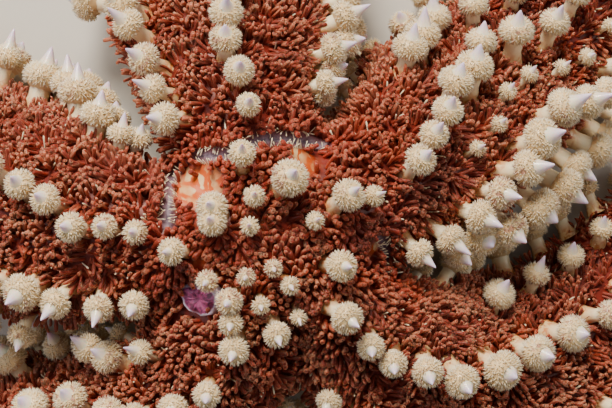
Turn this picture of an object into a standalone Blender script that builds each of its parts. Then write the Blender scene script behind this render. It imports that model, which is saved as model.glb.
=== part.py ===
"""Spiny starfish, life size, humped up on its five arms.

The disc is carried about 12 mm above the floor and the arms arch down from it,
lie along the floor on the two ledges beside the groove, and lift at their tips.
Metres, +Z up, floor at z = 0, origin under the middle of the whole animal.
"""
import math
import random

import bmesh
import bpy
import numpy as np
from mathutils import Matrix, Vector
from mathutils.bvhtree import BVHTree

MM = 0.001

# Driving sizes of the body
DISC_RADIUS = 16.0 * MM
ARM_RADIUS = 120.0 * MM
ARM_NAMES = ("a", "b", "c", "d", "e")
FIRST_HEADING = math.radians(99.0)
DISC_CENTRE = Vector((-1.92 * MM, -26.99 * MM, 12.4 * MM))
DISC_TILT = math.radians(8.9)
DISC_TILT_HEADING = math.radians(-76.9)
DISC_HEIGHT = 14.5 * MM
DOME_POWER = 1.8
BASE_SLOPE = math.radians(11.0)
ARM_HEIGHT = 12.5 * MM
ARM_SWELL = 4.8 * MM
SWELL_SHARE = 0.16
BLEND_LENGTH = 6.0 * MM
TIP_ROUNDING = 1.6 * MM
TIP_SHARE = 0.5
JOINT_GAP = 0.3 * MM
PATH_STEP = 0.5 * MM

# How each arm turns (start, length, angle), where it reaches the floor, and its roll on the way down
ARM_TURNS = {
    "a": ((0.0, 26.0, -22.0), (12.0, 36.0, 2.0)),
    "b": ((0.0, 26.0, 5.3), (12.0, 36.0, 15.0), (44.0, 40.0, -24.0)),
    "c": ((0.0, 26.0, 35.6), (12.0, 36.0, 51.7), (44.0, 40.0, -20.0)),
    "d": ((0.0, 26.0, -53.0), (12.0, 36.0, 4.0), (44.0, 40.0, 26.0)),
    "e": ((0.0, 26.0, -17.8), (12.0, 36.0, -24.0), (44.0, 40.0, 16.0)),
}
FLOOR_REACH = {"a": 57.5, "b": 54.0, "c": 60.0, "d": 58.0, "e": 55.6}
ARM_ROLL = {"a": -3.3, "b": -29.4, "c": -8.4, "d": 35.0, "e": 15.9}
TIP_LIFT = 4.0 * MM
TIP_LIFT_LENGTH = 16.0 * MM

# Where each arm is divided, along its length from the disc's middle
ARM_CUTS = (45.0 * MM, 82.0 * MM)
PART_NAMES = ("base", "middle", "tip")

# The cross-section: groove and ledges below, then the flank and back at these angles
GROOVE_HALF = 0.22
GROOVE_DEPTH = 0.24
LEDGE_EDGE = 0.74
SECTION_CENTRE = 0.36
SECTION_ANGLES = tuple(math.radians(a) for a in (-12.0, 15.0, 40.0, 66.0, 90.0))
RING_SPACING = 6.3 * MM
SHARED_CORNERS = 3
DOME_LEVELS = (1.0, 0.80, 0.58, 0.34)
MOUTH_RADIUS = 2.6 * MM
MOUTH_DEPTH = 3.2 * MM
MOUTH_NARROWING = 0.6
JAW_LIFT = 0.6 * MM

# Spines, each a stem, a ring of pincers round it and a bare point
SPINE_SPACING = 4.1 * MM
SPINE_SPACING_MIDWAY = 5.8 * MM
SPINE_SPACING_AT_TIP = 4.8 * MM
SPINE_HEIGHT = 5.4 * MM
SPINE_SHARE_AT_TIP = 0.27
GROWTH_START = 0.80
GROWTH_END = 1.55
GROWTH_LENGTH = 35.0 * MM
OUTWARD_LEAN = 0.9
OUTWARD_LEAN_MOST = 0.35
WREATH_WIDTH = 4.3 * MM
STEM_SHARE = 0.42
SPINE_SINK = 1.1 * MM
SPINE_MIN_STEM = 0.55 * MM
EDGE_CLEARANCE = 0.5 * MM
CUT_LEAN = 0.22
CUT_STEP = 0.3 * MM
TIP_CLEARANCE = 1.5 * MM
FLOOR_CLEARANCE = 0.4 * MM
NEIGHBOUR_CLEARANCE = 0.6 * MM
WREATH_RISE = 0.56
SHOULDER_RISE = 0.80
SHOULDER_SHARE = 0.40
NEAR_SHARE = 0.32
NEAR_SIDES = 5
FAR_SIDES = 4
TURN_STEPS = 14
RAISE_STEP = 0.12
SHRINK_STEPS = (1.0, 0.8, 0.62)

# Rows on each arm, in degrees up the flank and in mm from the row's first point
BACK_ANGLES = {"a": 90.0, "b": 94.0, "c": 82.0, "d": 90.0, "e": 90.0}
BACK_LEANS = {"a": 0.0, "b": 0.30, "c": -0.70, "d": 0.0, "e": 0.0}
BACK_STARTS = {"a": 2.3, "b": 4.9, "c": 0.6, "d": 3.2, "e": 0.7}
BACK_SIZES = {"a": 0.94, "b": 1.02, "c": 1.00, "d": 0.92, "e": 0.90}
FLANK_ANGLES = {"a": (38.0, 14.0), "b": (56.0, 32.0), "c": (46.0, 38.0), "d": (30.0, 38.0), "e": (38.0, 14.0)}
FLANK_STARTS = {"a": (3.4, 5.0), "b": (19.0, 1.4), "c": (17.4, 3.0), "d": (4.5, 3.1), "e": (1.1, 5.6)}
FLANK_SIZES = {"a": (1.08, 1.02), "b": (0.95, 1.10), "c": (0.82, 0.95), "d": (0.66, 0.95), "e": (1.02, 1.08)}
MARGIN_ANGLE = -6.0
MARGIN_START = 3.6
MARGIN_SIZES = {"a": (1.12, 0.90), "b": (0.90, 1.15), "c": (1.00, 0.80), "d": (0.70, 0.85), "e": (0.80, 1.10)}
SMALL_ROWS = {"b": (62.0, -1, 15.5)}
SMALL_SIZE = 0.48
MARGIN_STRETCH = 1.8
SEED = 7

# Spines of the disc: heading in degrees, distance from the middle in mm, size
DISC_SPINES = (
    (109, 11.4, 0.80), (81, 7.9, 1.15), (36, 9.2, 1.00), (41, 5.2, 0.50), (113, 6.9, 0.60), (134, 4.4, 0.52),
    (141, 8.6, 0.95), (152, 7.9, 0.85), (176, 11.2, 0.80), (200, 8.4, 0.62), (222, 7.4, 0.80), (231, 9.2, 0.70),
    (212, 4.4, 0.50), (240, 1.6, 0.48), (284, 3.6, 0.52), (247, 6.0, 0.50), (346, 6.8, 0.95), (313, 9.6, 1.00),
    (267, 8.4, 0.80), (285, 7.4, 0.45), (244, 11.2, 0.90), (28, 12.2, 0.62),
)
DOME_CURVE = 19.0 * MM
SIEVE_PLATE = (209, 10.6)
SIEVE_RADIUS = 2.2 * MM
SIEVE_HEIGHT = 0.5 * MM
SIEVE_SIDES = 8

# Tube feet that hang in the grooves
FEET_SPACING = 9.0 * MM
FOOT_RADIUS = 0.45 * MM
SUCKER_RADIUS = 0.80 * MM
FOOT_OFFSET = 0.11
FOOT_CLEARANCE = 0.25 * MM
SUCKER_HEIGHT = 0.35 * MM
FOOT_ROOT = 0.6 * MM
FEET_END = 3.0 * MM
FOOT_SIDES = 4

SKIN_COLOUR = (0.21, 0.055, 0.028, 1.0)
DISC_COLOUR = (0.23, 0.062, 0.030, 1.0)


def smooth(t):
    t = np.clip(t, 0.0, 1.0)
    return t * t * (3.0 - 2.0 * t)


START = DISC_RADIUS * math.cos(math.pi / 5.0)
START_HALF_WIDTH = DISC_RADIUS * math.sin(math.pi / 5.0)
ARCH = START * math.tan(BASE_SLOPE) / 2.0


def along(s):
    """Share of the arm's length at a distance s from the disc's middle."""
    return (s - START) / (ARM_RADIUS - START)


def half_width(s):
    t = along(s)
    swell = START_HALF_WIDTH + ARM_SWELL * smooth(t / SWELL_SHARE)
    return swell * (1.0 - 0.80 * np.clip((t - 0.12) / 0.88, 0.0, 1.0) ** 1.15)


def arm_height(s):
    return ARM_HEIGHT * (1.0 - 0.76 * np.clip(along(s), 0.0, 1.0) ** 1.1)


def disc_rotation():
    axis = Vector((-math.sin(DISC_TILT_HEADING), math.cos(DISC_TILT_HEADING), 0.0))
    return Matrix.Rotation(DISC_TILT, 3, axis)


TILT = disc_rotation()


def on_disc(point):
    return TILT @ Vector(point) + DISC_CENTRE


def arm_heading(name):
    return FIRST_HEADING - math.radians(72.0) * ARM_NAMES.index(name)


class ArmPath:
    """The middle line under one arm, with its side and up directions."""

    def __init__(self, name):
        heading = arm_heading(name)
        outward = Vector((math.cos(heading), math.sin(heading), 0.0))
        origin = on_disc(outward * START - Vector((0.0, 0.0, ARCH)))
        tangent = TILT @ (outward * math.cos(BASE_SLOPE) - Vector((0.0, 0.0, math.sin(BASE_SLOPE))))
        side = TILT @ Vector((-math.sin(heading), math.cos(heading), 0.0))
        first = math.atan2(tangent.y, tangent.x)
        level = Vector((-math.sin(first), math.cos(first), 0.0))
        roll = math.atan2(side.dot(tangent.cross(level)), side.dot(level))
        self.name = name
        self.s = START + PATH_STEP * np.arange(int(round((ARM_RADIUS - START) / PATH_STEP)) + 1)
        reach = FLOOR_REACH[name] * MM - START
        t = np.clip((self.s - START) / reach, 0.0, 1.0)
        slope = ((6 * t * t - 6 * t) * origin.z + (3 * t * t - 4 * t + 1) * reach * tangent.z) / reach
        from_tip = np.clip((self.s - ARM_RADIUS + TIP_LIFT_LENGTH) / TIP_LIFT_LENGTH, 0.0, 1.0)
        slope = slope + 2.0 * TIP_LIFT / TIP_LIFT_LENGTH * from_tip
        turned = np.full(len(self.s), first)
        for start, length, angle in ARM_TURNS[name]:
            turned = turned + math.radians(angle) * smooth((self.s - START - start * MM) / (length * MM))
        rolled = roll * (1.0 - smooth(t))
        rolled = rolled + math.radians(ARM_ROLL[name]) * (smooth(2.0 * t) - smooth(2.0 * t - 1.0))
        flat = np.sqrt(1.0 - slope ** 2)
        self.tangent = np.stack([np.cos(turned) * flat, np.sin(turned) * flat, slope], 1)
        level = np.stack([-np.sin(turned), np.cos(turned), 0.0 * turned], 1)
        above = np.cross(self.tangent, level)
        self.side = np.cos(rolled)[:, None] * level + np.sin(rolled)[:, None] * above
        self.up = np.cross(self.tangent, self.side)
        between = (self.tangent[1:] + self.tangent[:-1]) / 2.0 * PATH_STEP
        steps = np.concatenate([np.zeros((1, 3)), np.cumsum(between, 0)])
        self.middle = np.array(origin) + steps
        ledge = LEDGE_EDGE * half_width(self.s) * np.abs(self.side[:, 2])
        self.middle[:, 2] = np.maximum(self.middle[:, 2], ledge)

    def frame(self, s):
        """Point under the arm and its tangent, side and up directions at s."""
        rows = []
        for table in (self.middle, self.tangent, self.side, self.up):
            rows.append([np.interp(s, self.s, table[:, k]) for k in range(3)])
        return [np.array(row) for row in rows]


def half_section(s):
    """Points (sideways, up) of one half of the cross-section, from the groove's roof to the back."""
    w = float(half_width(s))
    h = float(arm_height(s))
    mid = SECTION_CENTRE * h
    points = [(0.0, GROOVE_DEPTH * h), (GROOVE_HALF * w, 0.0), (LEDGE_EDGE * w, 0.0)]
    for angle in SECTION_ANGLES:
        rise = (h - mid) if angle > 0.0 else mid
        points.append((w * math.cos(angle), mid + rise * math.sin(angle)))
    return points


def full_section(s):
    """The closed section, left side first, round over the back to the right side."""
    half = half_section(s)
    left = half[1:]
    right = [(-x, z) for x, z in reversed(half[1:-1])]
    return [half[0]] + left + right


def start_section():
    """The section where the arm leaves the disc: its flanks share the corner between two arms."""
    ring = full_section(START)
    corner = math.tan(math.pi / 5.0)
    for k in range(SHARED_CORNERS):
        for index in (2 + k, len(ring) - 2 - k):
            x, z = ring[index]
            ring[index] = (math.copysign((START + z * math.sin(BASE_SLOPE)) * corner, x), z)
    return ring


def arm_ring(path, s):
    """World points of the arm's section at s."""
    point, tangent, side, up = path.frame(s)
    section = full_section(s)
    blend = float(smooth((s - START) / BLEND_LENGTH))
    if blend < 1.0:
        begin = start_section()
        section = [(a[0] * (1 - blend) + b[0] * blend, a[1] * (1 - blend) + b[1] * blend)
                   for a, b in zip(begin, section)]
    return [Vector(point + side * x + up * z) for x, z in section]


def new_object(name, bm, colour):
    bmesh.ops.recalc_face_normals(bm, faces=bm.faces)
    mesh = bpy.data.meshes.new(name)
    bm.to_mesh(mesh)
    bm.free()
    mesh.shade_smooth()
    obj = bpy.data.objects.new(name, mesh)
    bpy.context.collection.objects.link(obj)
    if colour:
        material = bpy.data.materials.new(name + "_skin")
        material.use_nodes = True
        shader = material.node_tree.nodes["Principled BSDF"]
        shader.inputs["Base Color"].default_value = colour
        shader.inputs["Roughness"].default_value = 0.6
        shader.inputs["Metallic"].default_value = 0.0
        mesh.materials.append(material)
    return obj


def bridge(bm, lower, upper):
    """Quads between two closed rings of vertices."""
    count = len(lower)
    for k in range(count):
        bm.faces.new((lower[k], lower[(k + 1) % count], upper[(k + 1) % count], upper[k]))


def arm_length_mesh(path, start, end, is_tip):
    """One length of an arm, closed by a flat face at each cut and rounded at the tip."""
    bm = bmesh.new()
    count = max(2, int(round((end - start) / RING_SPACING)))
    stations = [start + (end - start) * k / count for k in range(count + 1)]
    if is_tip:
        stations = stations[:-1] + [end - TIP_ROUNDING]
    rings = [[bm.verts.new(p) for p in arm_ring(path, s)] for s in stations]
    for lower, upper in zip(rings, rings[1:]):
        bridge(bm, lower, upper)
    bm.faces.new(rings[0])
    if is_tip:
        point, tangent, side, up = path.frame(end)
        heart = TIP_SHARE * float(arm_height(end))
        blunt = []
        for x, z in full_section(end):
            place = point + side * x * TIP_SHARE + up * (heart + (z - heart) * TIP_SHARE)
            blunt.append(bm.verts.new(Vector(place)))
        bridge(bm, rings[-1], blunt)
        bm.faces.new(blunt)
    else:
        bm.faces.new(rings[-1])
    return bm


def disc_mesh():
    """The disc: five flat faces where the arms leave, a domed back and the mouth below."""
    bm = bmesh.new()
    shared = {}

    def vertex(point):
        key = tuple(round(v / (0.01 * MM)) for v in point)
        if key not in shared:
            shared[key] = bm.verts.new(on_disc(point))
        return shared[key]

    def local(heading, x, z):
        reach = START + z * math.sin(BASE_SLOPE)
        lift = z * math.cos(BASE_SLOPE) - ARCH
        return Vector((math.cos(heading) * reach - math.sin(heading) * x,
                       math.sin(heading) * reach + math.cos(heading) * x, lift))

    def fill(columns):
        for one, two in zip(columns, columns[1:]):
            for k in range(len(one) - 1):
                corners = [one[k], two[k], two[k + 1], one[k + 1]]
                bm.faces.new([v for i, v in enumerate(corners) if v not in corners[:i]])

    for name in ARM_NAMES:
        heading = arm_heading(name)
        section = [local(heading, x, z) for x, z in start_section()]
        bm.faces.new([vertex(p) for p in section])
        count = len(section)
        back = []
        for p in section[1 + SHARED_CORNERS:count - SHARED_CORNERS]:
            column = []
            for g in DOME_LEVELS:
                height = DISC_HEIGHT + (p.z - DISC_HEIGHT) * g ** DOME_POWER
                column.append(vertex((p.x * g, p.y * g, height)))
            back.append(column + [vertex((0.0, 0.0, DISC_HEIGHT))])
        fill(back)
        below = []
        for p in (section[2], section[1], section[0], section[count - 1], section[count - 2]):
            lip = Vector((p.x, p.y, 0.0)).normalized() * MOUTH_RADIUS
            throat = (lip.x * MOUTH_NARROWING, lip.y * MOUTH_NARROWING, MOUTH_DEPTH)
            lip.z = JAW_LIFT if p is section[0] else 0.0
            below.append([vertex(p), vertex(lip), vertex(throat), vertex((0.0, 0.0, MOUTH_DEPTH))])
        fill(below)
    return bm


def frame_about(direction):
    """Two directions square to the given one and to each other."""
    direction = direction.normalized()
    aside = direction.cross(Vector((0.31, 0.67, 0.68)))
    if aside.length < 0.2:
        aside = direction.cross(Vector((1.0, 0.0, 0.0)))
    aside.normalize()
    return aside, direction.cross(aside)


def turned_mesh(root, direction, profile, sides, turn):
    """A closed piece turned about a direction from (distance along it, radius) pairs; radius 0 is a point."""
    direction = direction.normalized()
    aside, across = frame_about(direction)
    bm = bmesh.new()
    rings = []
    for rise, radius in profile:
        heart = root + direction * rise
        if radius == 0.0:
            rings.append([bm.verts.new(heart)])
            continue
        ring = []
        for k in range(sides):
            angle = turn + 2.0 * math.pi * k / sides
            offset = aside * math.cos(angle) + across * math.sin(angle)
            ring.append(bm.verts.new(heart + offset * radius))
        rings.append(ring)
    for lower, upper in zip(rings, rings[1:]):
        if len(upper) > 1:
            bridge(bm, lower, upper)
        else:
            for k in range(sides):
                bm.faces.new((lower[k], lower[(k + 1) % sides], upper[0]))
    bm.faces.new(rings[0])
    if len(rings[-1]) > 1:
        bm.faces.new(rings[-1])
    return bm


def spine_mesh(root, direction, tall, wide, sides, turn):
    """A spine: sunk stem, the wreath's widest ring, its shoulder where near the disc, and the bare point."""
    stem = max(wide * STEM_SHARE, SPINE_MIN_STEM) / 2.0
    profile = [(-SPINE_SINK, stem), (tall * WREATH_RISE, wide / 2.0)]
    if sides == NEAR_SIDES:
        profile.append((tall * SHOULDER_RISE, wide * SHOULDER_SHARE / 2.0))
    return turned_mesh(root, direction, profile + [(tall, 0.0)], sides, turn)


def surface_point(path, s, angle, sign):
    """Point on the arm's back at an angle up its side, and the way the surface faces there."""
    point, tangent, side, up = path.frame(s)
    w = float(half_width(s))
    h = float(arm_height(s))
    mid = SECTION_CENTRE * h
    rise = (h - mid) if angle > 0.0 else mid
    place = point + side * sign * w * math.cos(angle) + up * (mid + rise * math.sin(angle))
    normal = side * sign * math.cos(angle) / w + up * math.sin(angle) / rise
    return Vector(place), Vector(normal).normalized(), Vector(tangent)


def clear_of_floor(root, direction, tall, wide):
    """Turn a low spine up until it stays above the floor."""
    direction = direction.copy()
    for _ in range(TURN_STEPS):
        lowest = root.z + direction.z * tall * WREATH_RISE - wide / 2.0
        if min(lowest, root.z + direction.z * tall) > FLOOR_CLEARANCE:
            break
        direction.z += RAISE_STEP
        direction.normalize()
    return direction


def off_axis(path, point):
    """Distance from a point to an arm's flesh, taking the arm as round about its middle line."""
    mid = path.middle + path.up * (SECTION_CENTRE * arm_height(path.s))[:, None]
    away = np.sqrt(((mid - np.array(point)) ** 2).sum(1))
    return float((away - half_width(path.s)).min())


def line_gap(a, b, c, d):
    """Smallest distance between two short lines, tried at a few points of each."""
    shares = (0.0, 0.25, 0.5, 0.75, 1.0)
    return min((a.lerp(b, one) - c.lerp(d, two)).length for one in shares for two in shares)


def clear_of_arms(name, others, taken, root, direction, tall, wide):
    """Turn a spine up until it keeps off the other arms and their spines, or give it up."""
    direction = direction.copy()
    for _ in range(TURN_STEPS):
        ring = root + direction * tall * WREATH_RISE
        top = root + direction * tall
        blocked = any(off_axis(other, ring) < wide / 2.0 + NEIGHBOUR_CLEARANCE for other in others)
        for owner, low, high, width in taken:
            if owner != name and not blocked:
                blocked = line_gap(ring, top, low, high) < (wide + width) / 2.0 + NEIGHBOUR_CLEARANCE
        if not blocked:
            return direction
        direction.z += RAISE_STEP
        direction.normalize()
    return None


def spine_at(path, place, angle, sign, lean, tall, wide):
    """Root and direction of a spine on an arm's back, with its leans outward and to the left."""
    root, normal, tangent = surface_point(path, place, angle, sign)
    direction = (normal + tangent * lean[0] + Vector(path.frame(place)[2]) * lean[1]).normalized()
    return root, clear_of_floor(root, direction, tall, wide)


def clear_of_cuts(path, start, end, place, angle, sign, lean, tall, wide):
    """Move a spine along the arm until its wreath keeps clear of both cuts."""
    edge = wide / 2.0 + EDGE_CLEARANCE
    for _ in range(TURN_STEPS):
        root, direction = spine_at(path, place, angle, sign, lean, tall, wide)
        ring = np.array(root + direction * tall * WREATH_RISE)
        first, first_way = path.frame(start)[:2]
        last, last_way = path.frame(end)[:2]
        if float((ring - first) @ first_way) < edge:
            place += CUT_STEP
            lean = (max(lean[0], CUT_LEAN), lean[1])
        elif float((last - ring) @ last_way) < edge and end < ARM_RADIUS:
            place -= CUT_STEP
            lean = (min(lean[0], -CUT_LEAN), lean[1])
        else:
            return root, direction
    return root, None


def rows_of(name):
    """Rows of one arm: angle up the flank, side, spacing factor, size, first place and lean to the left."""
    rows = [(BACK_ANGLES[name], 1, 1.0, BACK_SIZES[name], BACK_STARTS[name], BACK_LEANS[name])]
    for sign, angle, first, size in zip((1, -1), FLANK_ANGLES[name], FLANK_STARTS[name], FLANK_SIZES[name]):
        rows.append((angle, sign, 1.0, size, first, 0.0))
    for sign, size in zip((1, -1), MARGIN_SIZES[name]):
        rows.append((MARGIN_ANGLE, sign, MARGIN_STRETCH, size, MARGIN_START, 0.0))
    if name in SMALL_ROWS:
        angle, sign, first = SMALL_ROWS[name]
        rows.append((angle, sign, 1.0, SMALL_SIZE, first, 0.0))
    return [(math.radians(row[0]), row[1], row[2], row[3], row[4] * MM, row[5]) for row in rows]


def spine_growth(s):
    """Size of a spine at s: growing away from the disc, then shrinking towards the tip."""
    short = 1.0 - min((s - START) / GROWTH_LENGTH, 1.0)
    grown = GROWTH_START + (GROWTH_END - GROWTH_START) * (1.0 - short ** 2)
    return grown * (1.0 - (1.0 - SPINE_SHARE_AT_TIP) * float(along(s)))


def spine_spacing(share):
    """Distance between spines, widest half way along and closer again at the tip."""
    near = SPINE_SPACING + (SPINE_SPACING_MIDWAY - SPINE_SPACING) * float(smooth(share / 0.3))
    return near + (SPINE_SPACING_AT_TIP - SPINE_SPACING_MIDWAY) * float(smooth((share - 0.4) / 0.6))


def row_stations(path, angle, sign, stretch, first):
    """Distances along the arm of a row's spines, evenly spaced along the row at its wreaths' height."""
    points = []
    for s in path.s:
        place, normal, tangent = surface_point(path, s, angle, sign)
        points.append(place + normal * SPINE_HEIGHT * WREATH_RISE)
    steps = [(two - one).length for one, two in zip(points, points[1:])]
    run = np.concatenate([[0.0], np.cumsum(steps)])
    stations = []
    reach = first
    while reach < run[-1]:
        s = float(np.interp(reach, run, path.s))
        if s > ARM_RADIUS - TIP_CLEARANCE:
            break
        stations.append(s)
        reach += stretch * spine_spacing(float(along(s)))
    return stations


def arm_spines(paths):
    """Every spine of the arms by arm and length; the rows of the margins find their room last."""
    rows = [(path, index, row) for path in paths for index, row in enumerate(rows_of(path.name))]
    rows.sort(key=lambda item: item[2][2] == MARGIN_STRETCH)
    edges = (START + JOINT_GAP,) + ARM_CUTS + (ARM_RADIUS,)
    found = {(path.name, part): [] for path in paths for part in PART_NAMES}
    taken = []
    for path, index, (angle, sign, stretch, size, first, left) in rows:
        draw = random.Random("{} {} {}".format(SEED, path.name, index))
        others = [other for other in paths if other is not path]
        for s in row_stations(path, angle, sign, stretch, first):
            share = float(along(s))
            small = spine_growth(s) * size
            tall = SPINE_HEIGHT * small * draw.uniform(0.88, 1.1)
            wide = WREATH_WIDTH * small * draw.uniform(0.86, 1.1)
            outward = draw.uniform(-0.12, 0.22) + min(OUTWARD_LEAN * share, OUTWARD_LEAN_MOST)
            lean = (outward, left)
            aside = angle + draw.uniform(-0.07, 0.07)
            turn = draw.uniform(0.0, math.pi)
            place = s + draw.uniform(-0.3, 0.3) * MM
            length = sum(place > cut for cut in ARM_CUTS)
            start = edges[length] + (JOINT_GAP if length else 0.0)
            for shrink in SHRINK_STEPS:
                high, broad = tall * shrink, wide * shrink
                root, direction = clear_of_cuts(path, start, edges[length + 1], place, aside, sign, lean, high, broad)
                if direction:
                    direction = clear_of_arms(path.name, others, taken, root, direction, high, broad)
                if direction:
                    sides = NEAR_SIDES if share < NEAR_SHARE and stretch < MARGIN_STRETCH else FAR_SIDES
                    found[path.name, PART_NAMES[length]].append((root, direction, high, broad, sides, turn))
                    taken.append((path.name, root + direction * high * WREATH_RISE, root + direction * high, broad))
                    break
    return found


def arm_feet(path, start, end):
    """Tube feet on one length of an arm, alternately left and right in the groove."""
    pieces = []
    s = START + 0.6 * FEET_SPACING
    sign = 1
    while s < ARM_RADIUS - FEET_END:
        edge = EDGE_CLEARANCE + SUCKER_RADIUS
        if start + edge < s < end - edge:
            point, tangent, side, up = path.frame(s)
            small = 1.0 - 0.55 * float(along(s))
            roof = GROOVE_DEPTH * float(arm_height(s))
            root = Vector(point + side * sign * FOOT_OFFSET * float(half_width(s)) + up * roof * 0.5)
            down = roof * 0.5 - FOOT_CLEARANCE
            profile = (
                (-FOOT_ROOT - roof * 0.5, FOOT_RADIUS * small),
                (down - SUCKER_HEIGHT, FOOT_RADIUS * small),
                (down, SUCKER_RADIUS * small),
            )
            pieces.append(turned_mesh(root, Vector(-up), profile, FOOT_SIDES, math.pi / FOOT_SIDES))
        s += FEET_SPACING
        sign = -sign
    return pieces


def disc_pieces(body):
    """The disc's spines and its sieve plate, set on the dome."""
    draw = random.Random("{} disc".format(SEED))
    tree = BVHTree.FromPolygons([v.co for v in body.data.vertices], [p.vertices for p in body.data.polygons])

    def place(heading, distance):
        angle = math.radians(heading)
        above = on_disc((math.cos(angle) * distance * MM, math.sin(angle) * distance * MM, 3.0 * DISC_HEIGHT))
        hit = tree.ray_cast(above, TILT @ Vector((0.0, 0.0, -1.0)))[0]
        fall = distance * MM / DOME_CURVE
        facing = Vector((math.cos(angle) * math.sin(fall), math.sin(angle) * math.sin(fall), math.cos(fall)))
        return hit, TILT @ facing

    pieces = []
    for heading, distance, size in DISC_SPINES:
        root, facing = place(heading, distance)
        lean = Vector((draw.uniform(-0.12, 0.12), draw.uniform(-0.12, 0.12), 0.0))
        tall = SPINE_HEIGHT * (0.35 + 0.65 * size)
        turn = draw.uniform(0.0, math.pi)
        pieces.append((root, facing + lean, tall, WREATH_WIDTH * size, NEAR_SIDES, turn))
    root, facing = place(*SIEVE_PLATE)
    profile = (
        (-SPINE_SINK, SIEVE_RADIUS),
        (SIEVE_HEIGHT * 0.6, SIEVE_RADIUS),
        (SIEVE_HEIGHT, SIEVE_RADIUS * 0.7),
    )
    pieces.append(turned_mesh(root, facing, profile, SIEVE_SIDES, 0.0))
    return pieces


def join_pieces(body, pieces):
    """Fuse the spines to their body with one union and keep the largest closed surface."""
    if not pieces:
        return
    collection = bpy.data.collections.new(body.name + "_spines")
    bpy.context.scene.collection.children.link(collection)
    for index, piece in enumerate(pieces):
        bm = piece if isinstance(piece, bmesh.types.BMesh) else spine_mesh(*piece)
        obj = new_object("{}_piece_{}".format(body.name, index), bm, None)
        bpy.context.collection.objects.unlink(obj)
        collection.objects.link(obj)
    union = body.modifiers.new("spines", "BOOLEAN")
    union.operation = "UNION"
    union.operand_type = "COLLECTION"
    union.collection = collection
    union.solver = "EXACT"
    graph = bpy.context.evaluated_depsgraph_get()
    fused = bpy.data.meshes.new_from_object(body.evaluated_get(graph))
    material = body.data.materials[0]
    body.modifiers.clear()
    body.data = fused
    fused.materials.clear()
    fused.materials.append(material)
    for obj in list(collection.objects):
        bpy.data.objects.remove(obj)
    bpy.data.collections.remove(collection)
    keep_largest(fused)


def keep_largest(mesh):
    """Leave only the largest closed surface of a mesh."""
    bm = bmesh.new()
    bm.from_mesh(mesh)
    bmesh.ops.triangulate(bm, faces=bm.faces)
    bmesh.ops.remove_doubles(bm, verts=bm.verts, dist=0.002 * MM)
    bmesh.ops.dissolve_degenerate(bm, dist=0.002 * MM, edges=bm.edges)
    unseen = set(bm.verts)
    groups = []
    while unseen:
        stack = [unseen.pop()]
        group = set(stack)
        while stack:
            for edge in stack.pop().link_edges:
                for v in edge.verts:
                    if v in unseen:
                        unseen.discard(v)
                        group.add(v)
                        stack.append(v)
        groups.append(group)
    groups.sort(key=len)
    loose = [v for group in groups[:-1] for v in group]
    bmesh.ops.delete(bm, geom=loose, context="VERTS")
    bm.to_mesh(mesh)
    bm.free()
    mesh.shade_smooth()


def clear_scene():
    for obj in list(bpy.data.objects):
        bpy.data.objects.remove(obj)


def build():
    clear_scene()
    root = bpy.data.objects.new("starfish", None)
    bpy.context.collection.objects.link(root)
    disc = new_object("disc", disc_mesh(), DISC_COLOUR)
    disc.parent = root
    join_pieces(disc, disc_pieces(disc))
    paths = [ArmPath(name) for name in ARM_NAMES]
    spines = arm_spines(paths)
    for path in paths:
        name = path.name
        edges = (START + JOINT_GAP,) + ARM_CUTS + (ARM_RADIUS,)
        for index, part in enumerate(PART_NAMES):
            start = edges[index] + (JOINT_GAP if index else 0.0)
            end = edges[index + 1]
            bm = arm_length_mesh(path, start, end, part == "tip")
            body = new_object("arm_{}_{}".format(name, part), bm, SKIN_COLOUR)
            body.parent = root
            join_pieces(body, spines[name, part] + arm_feet(path, start, end))


build()
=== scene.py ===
"""A life-size spiny starfish: wet skin, a carpet of gill fingers and rows of spines in wreaths of pincers."""
import math
import random

import bpy
import numpy as np
from bpy.props import FloatProperty, FloatVectorProperty, IntProperty, PointerProperty
from bpy.types import Operator, Panel, PropertyGroup
from mathutils import Matrix, Vector
from mathutils.bvhtree import BVHTree


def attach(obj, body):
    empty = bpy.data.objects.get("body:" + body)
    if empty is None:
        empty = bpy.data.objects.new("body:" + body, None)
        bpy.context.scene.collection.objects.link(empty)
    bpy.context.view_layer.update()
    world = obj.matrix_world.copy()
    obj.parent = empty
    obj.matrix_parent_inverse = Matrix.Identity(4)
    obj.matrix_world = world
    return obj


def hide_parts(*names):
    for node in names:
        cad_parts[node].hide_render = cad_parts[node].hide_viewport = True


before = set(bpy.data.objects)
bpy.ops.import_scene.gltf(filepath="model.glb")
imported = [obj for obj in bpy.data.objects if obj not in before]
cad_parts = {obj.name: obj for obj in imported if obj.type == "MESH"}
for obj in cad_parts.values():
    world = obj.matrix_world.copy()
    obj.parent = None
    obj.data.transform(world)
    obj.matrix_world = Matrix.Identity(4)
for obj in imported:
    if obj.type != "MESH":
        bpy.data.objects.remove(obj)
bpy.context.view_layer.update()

bl_info = {
    "name": "Spiny starfish",
    "version": (1, 0, 0),
    "blender": (4, 5, 0),
    "location": "3D View > Sidebar > Starfish",
    "description": "Builds a life-size spiny starfish with its gill carpet, wreathed spines and tube feet",
    "category": "Add Mesh",
}

MM = 0.001

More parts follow.
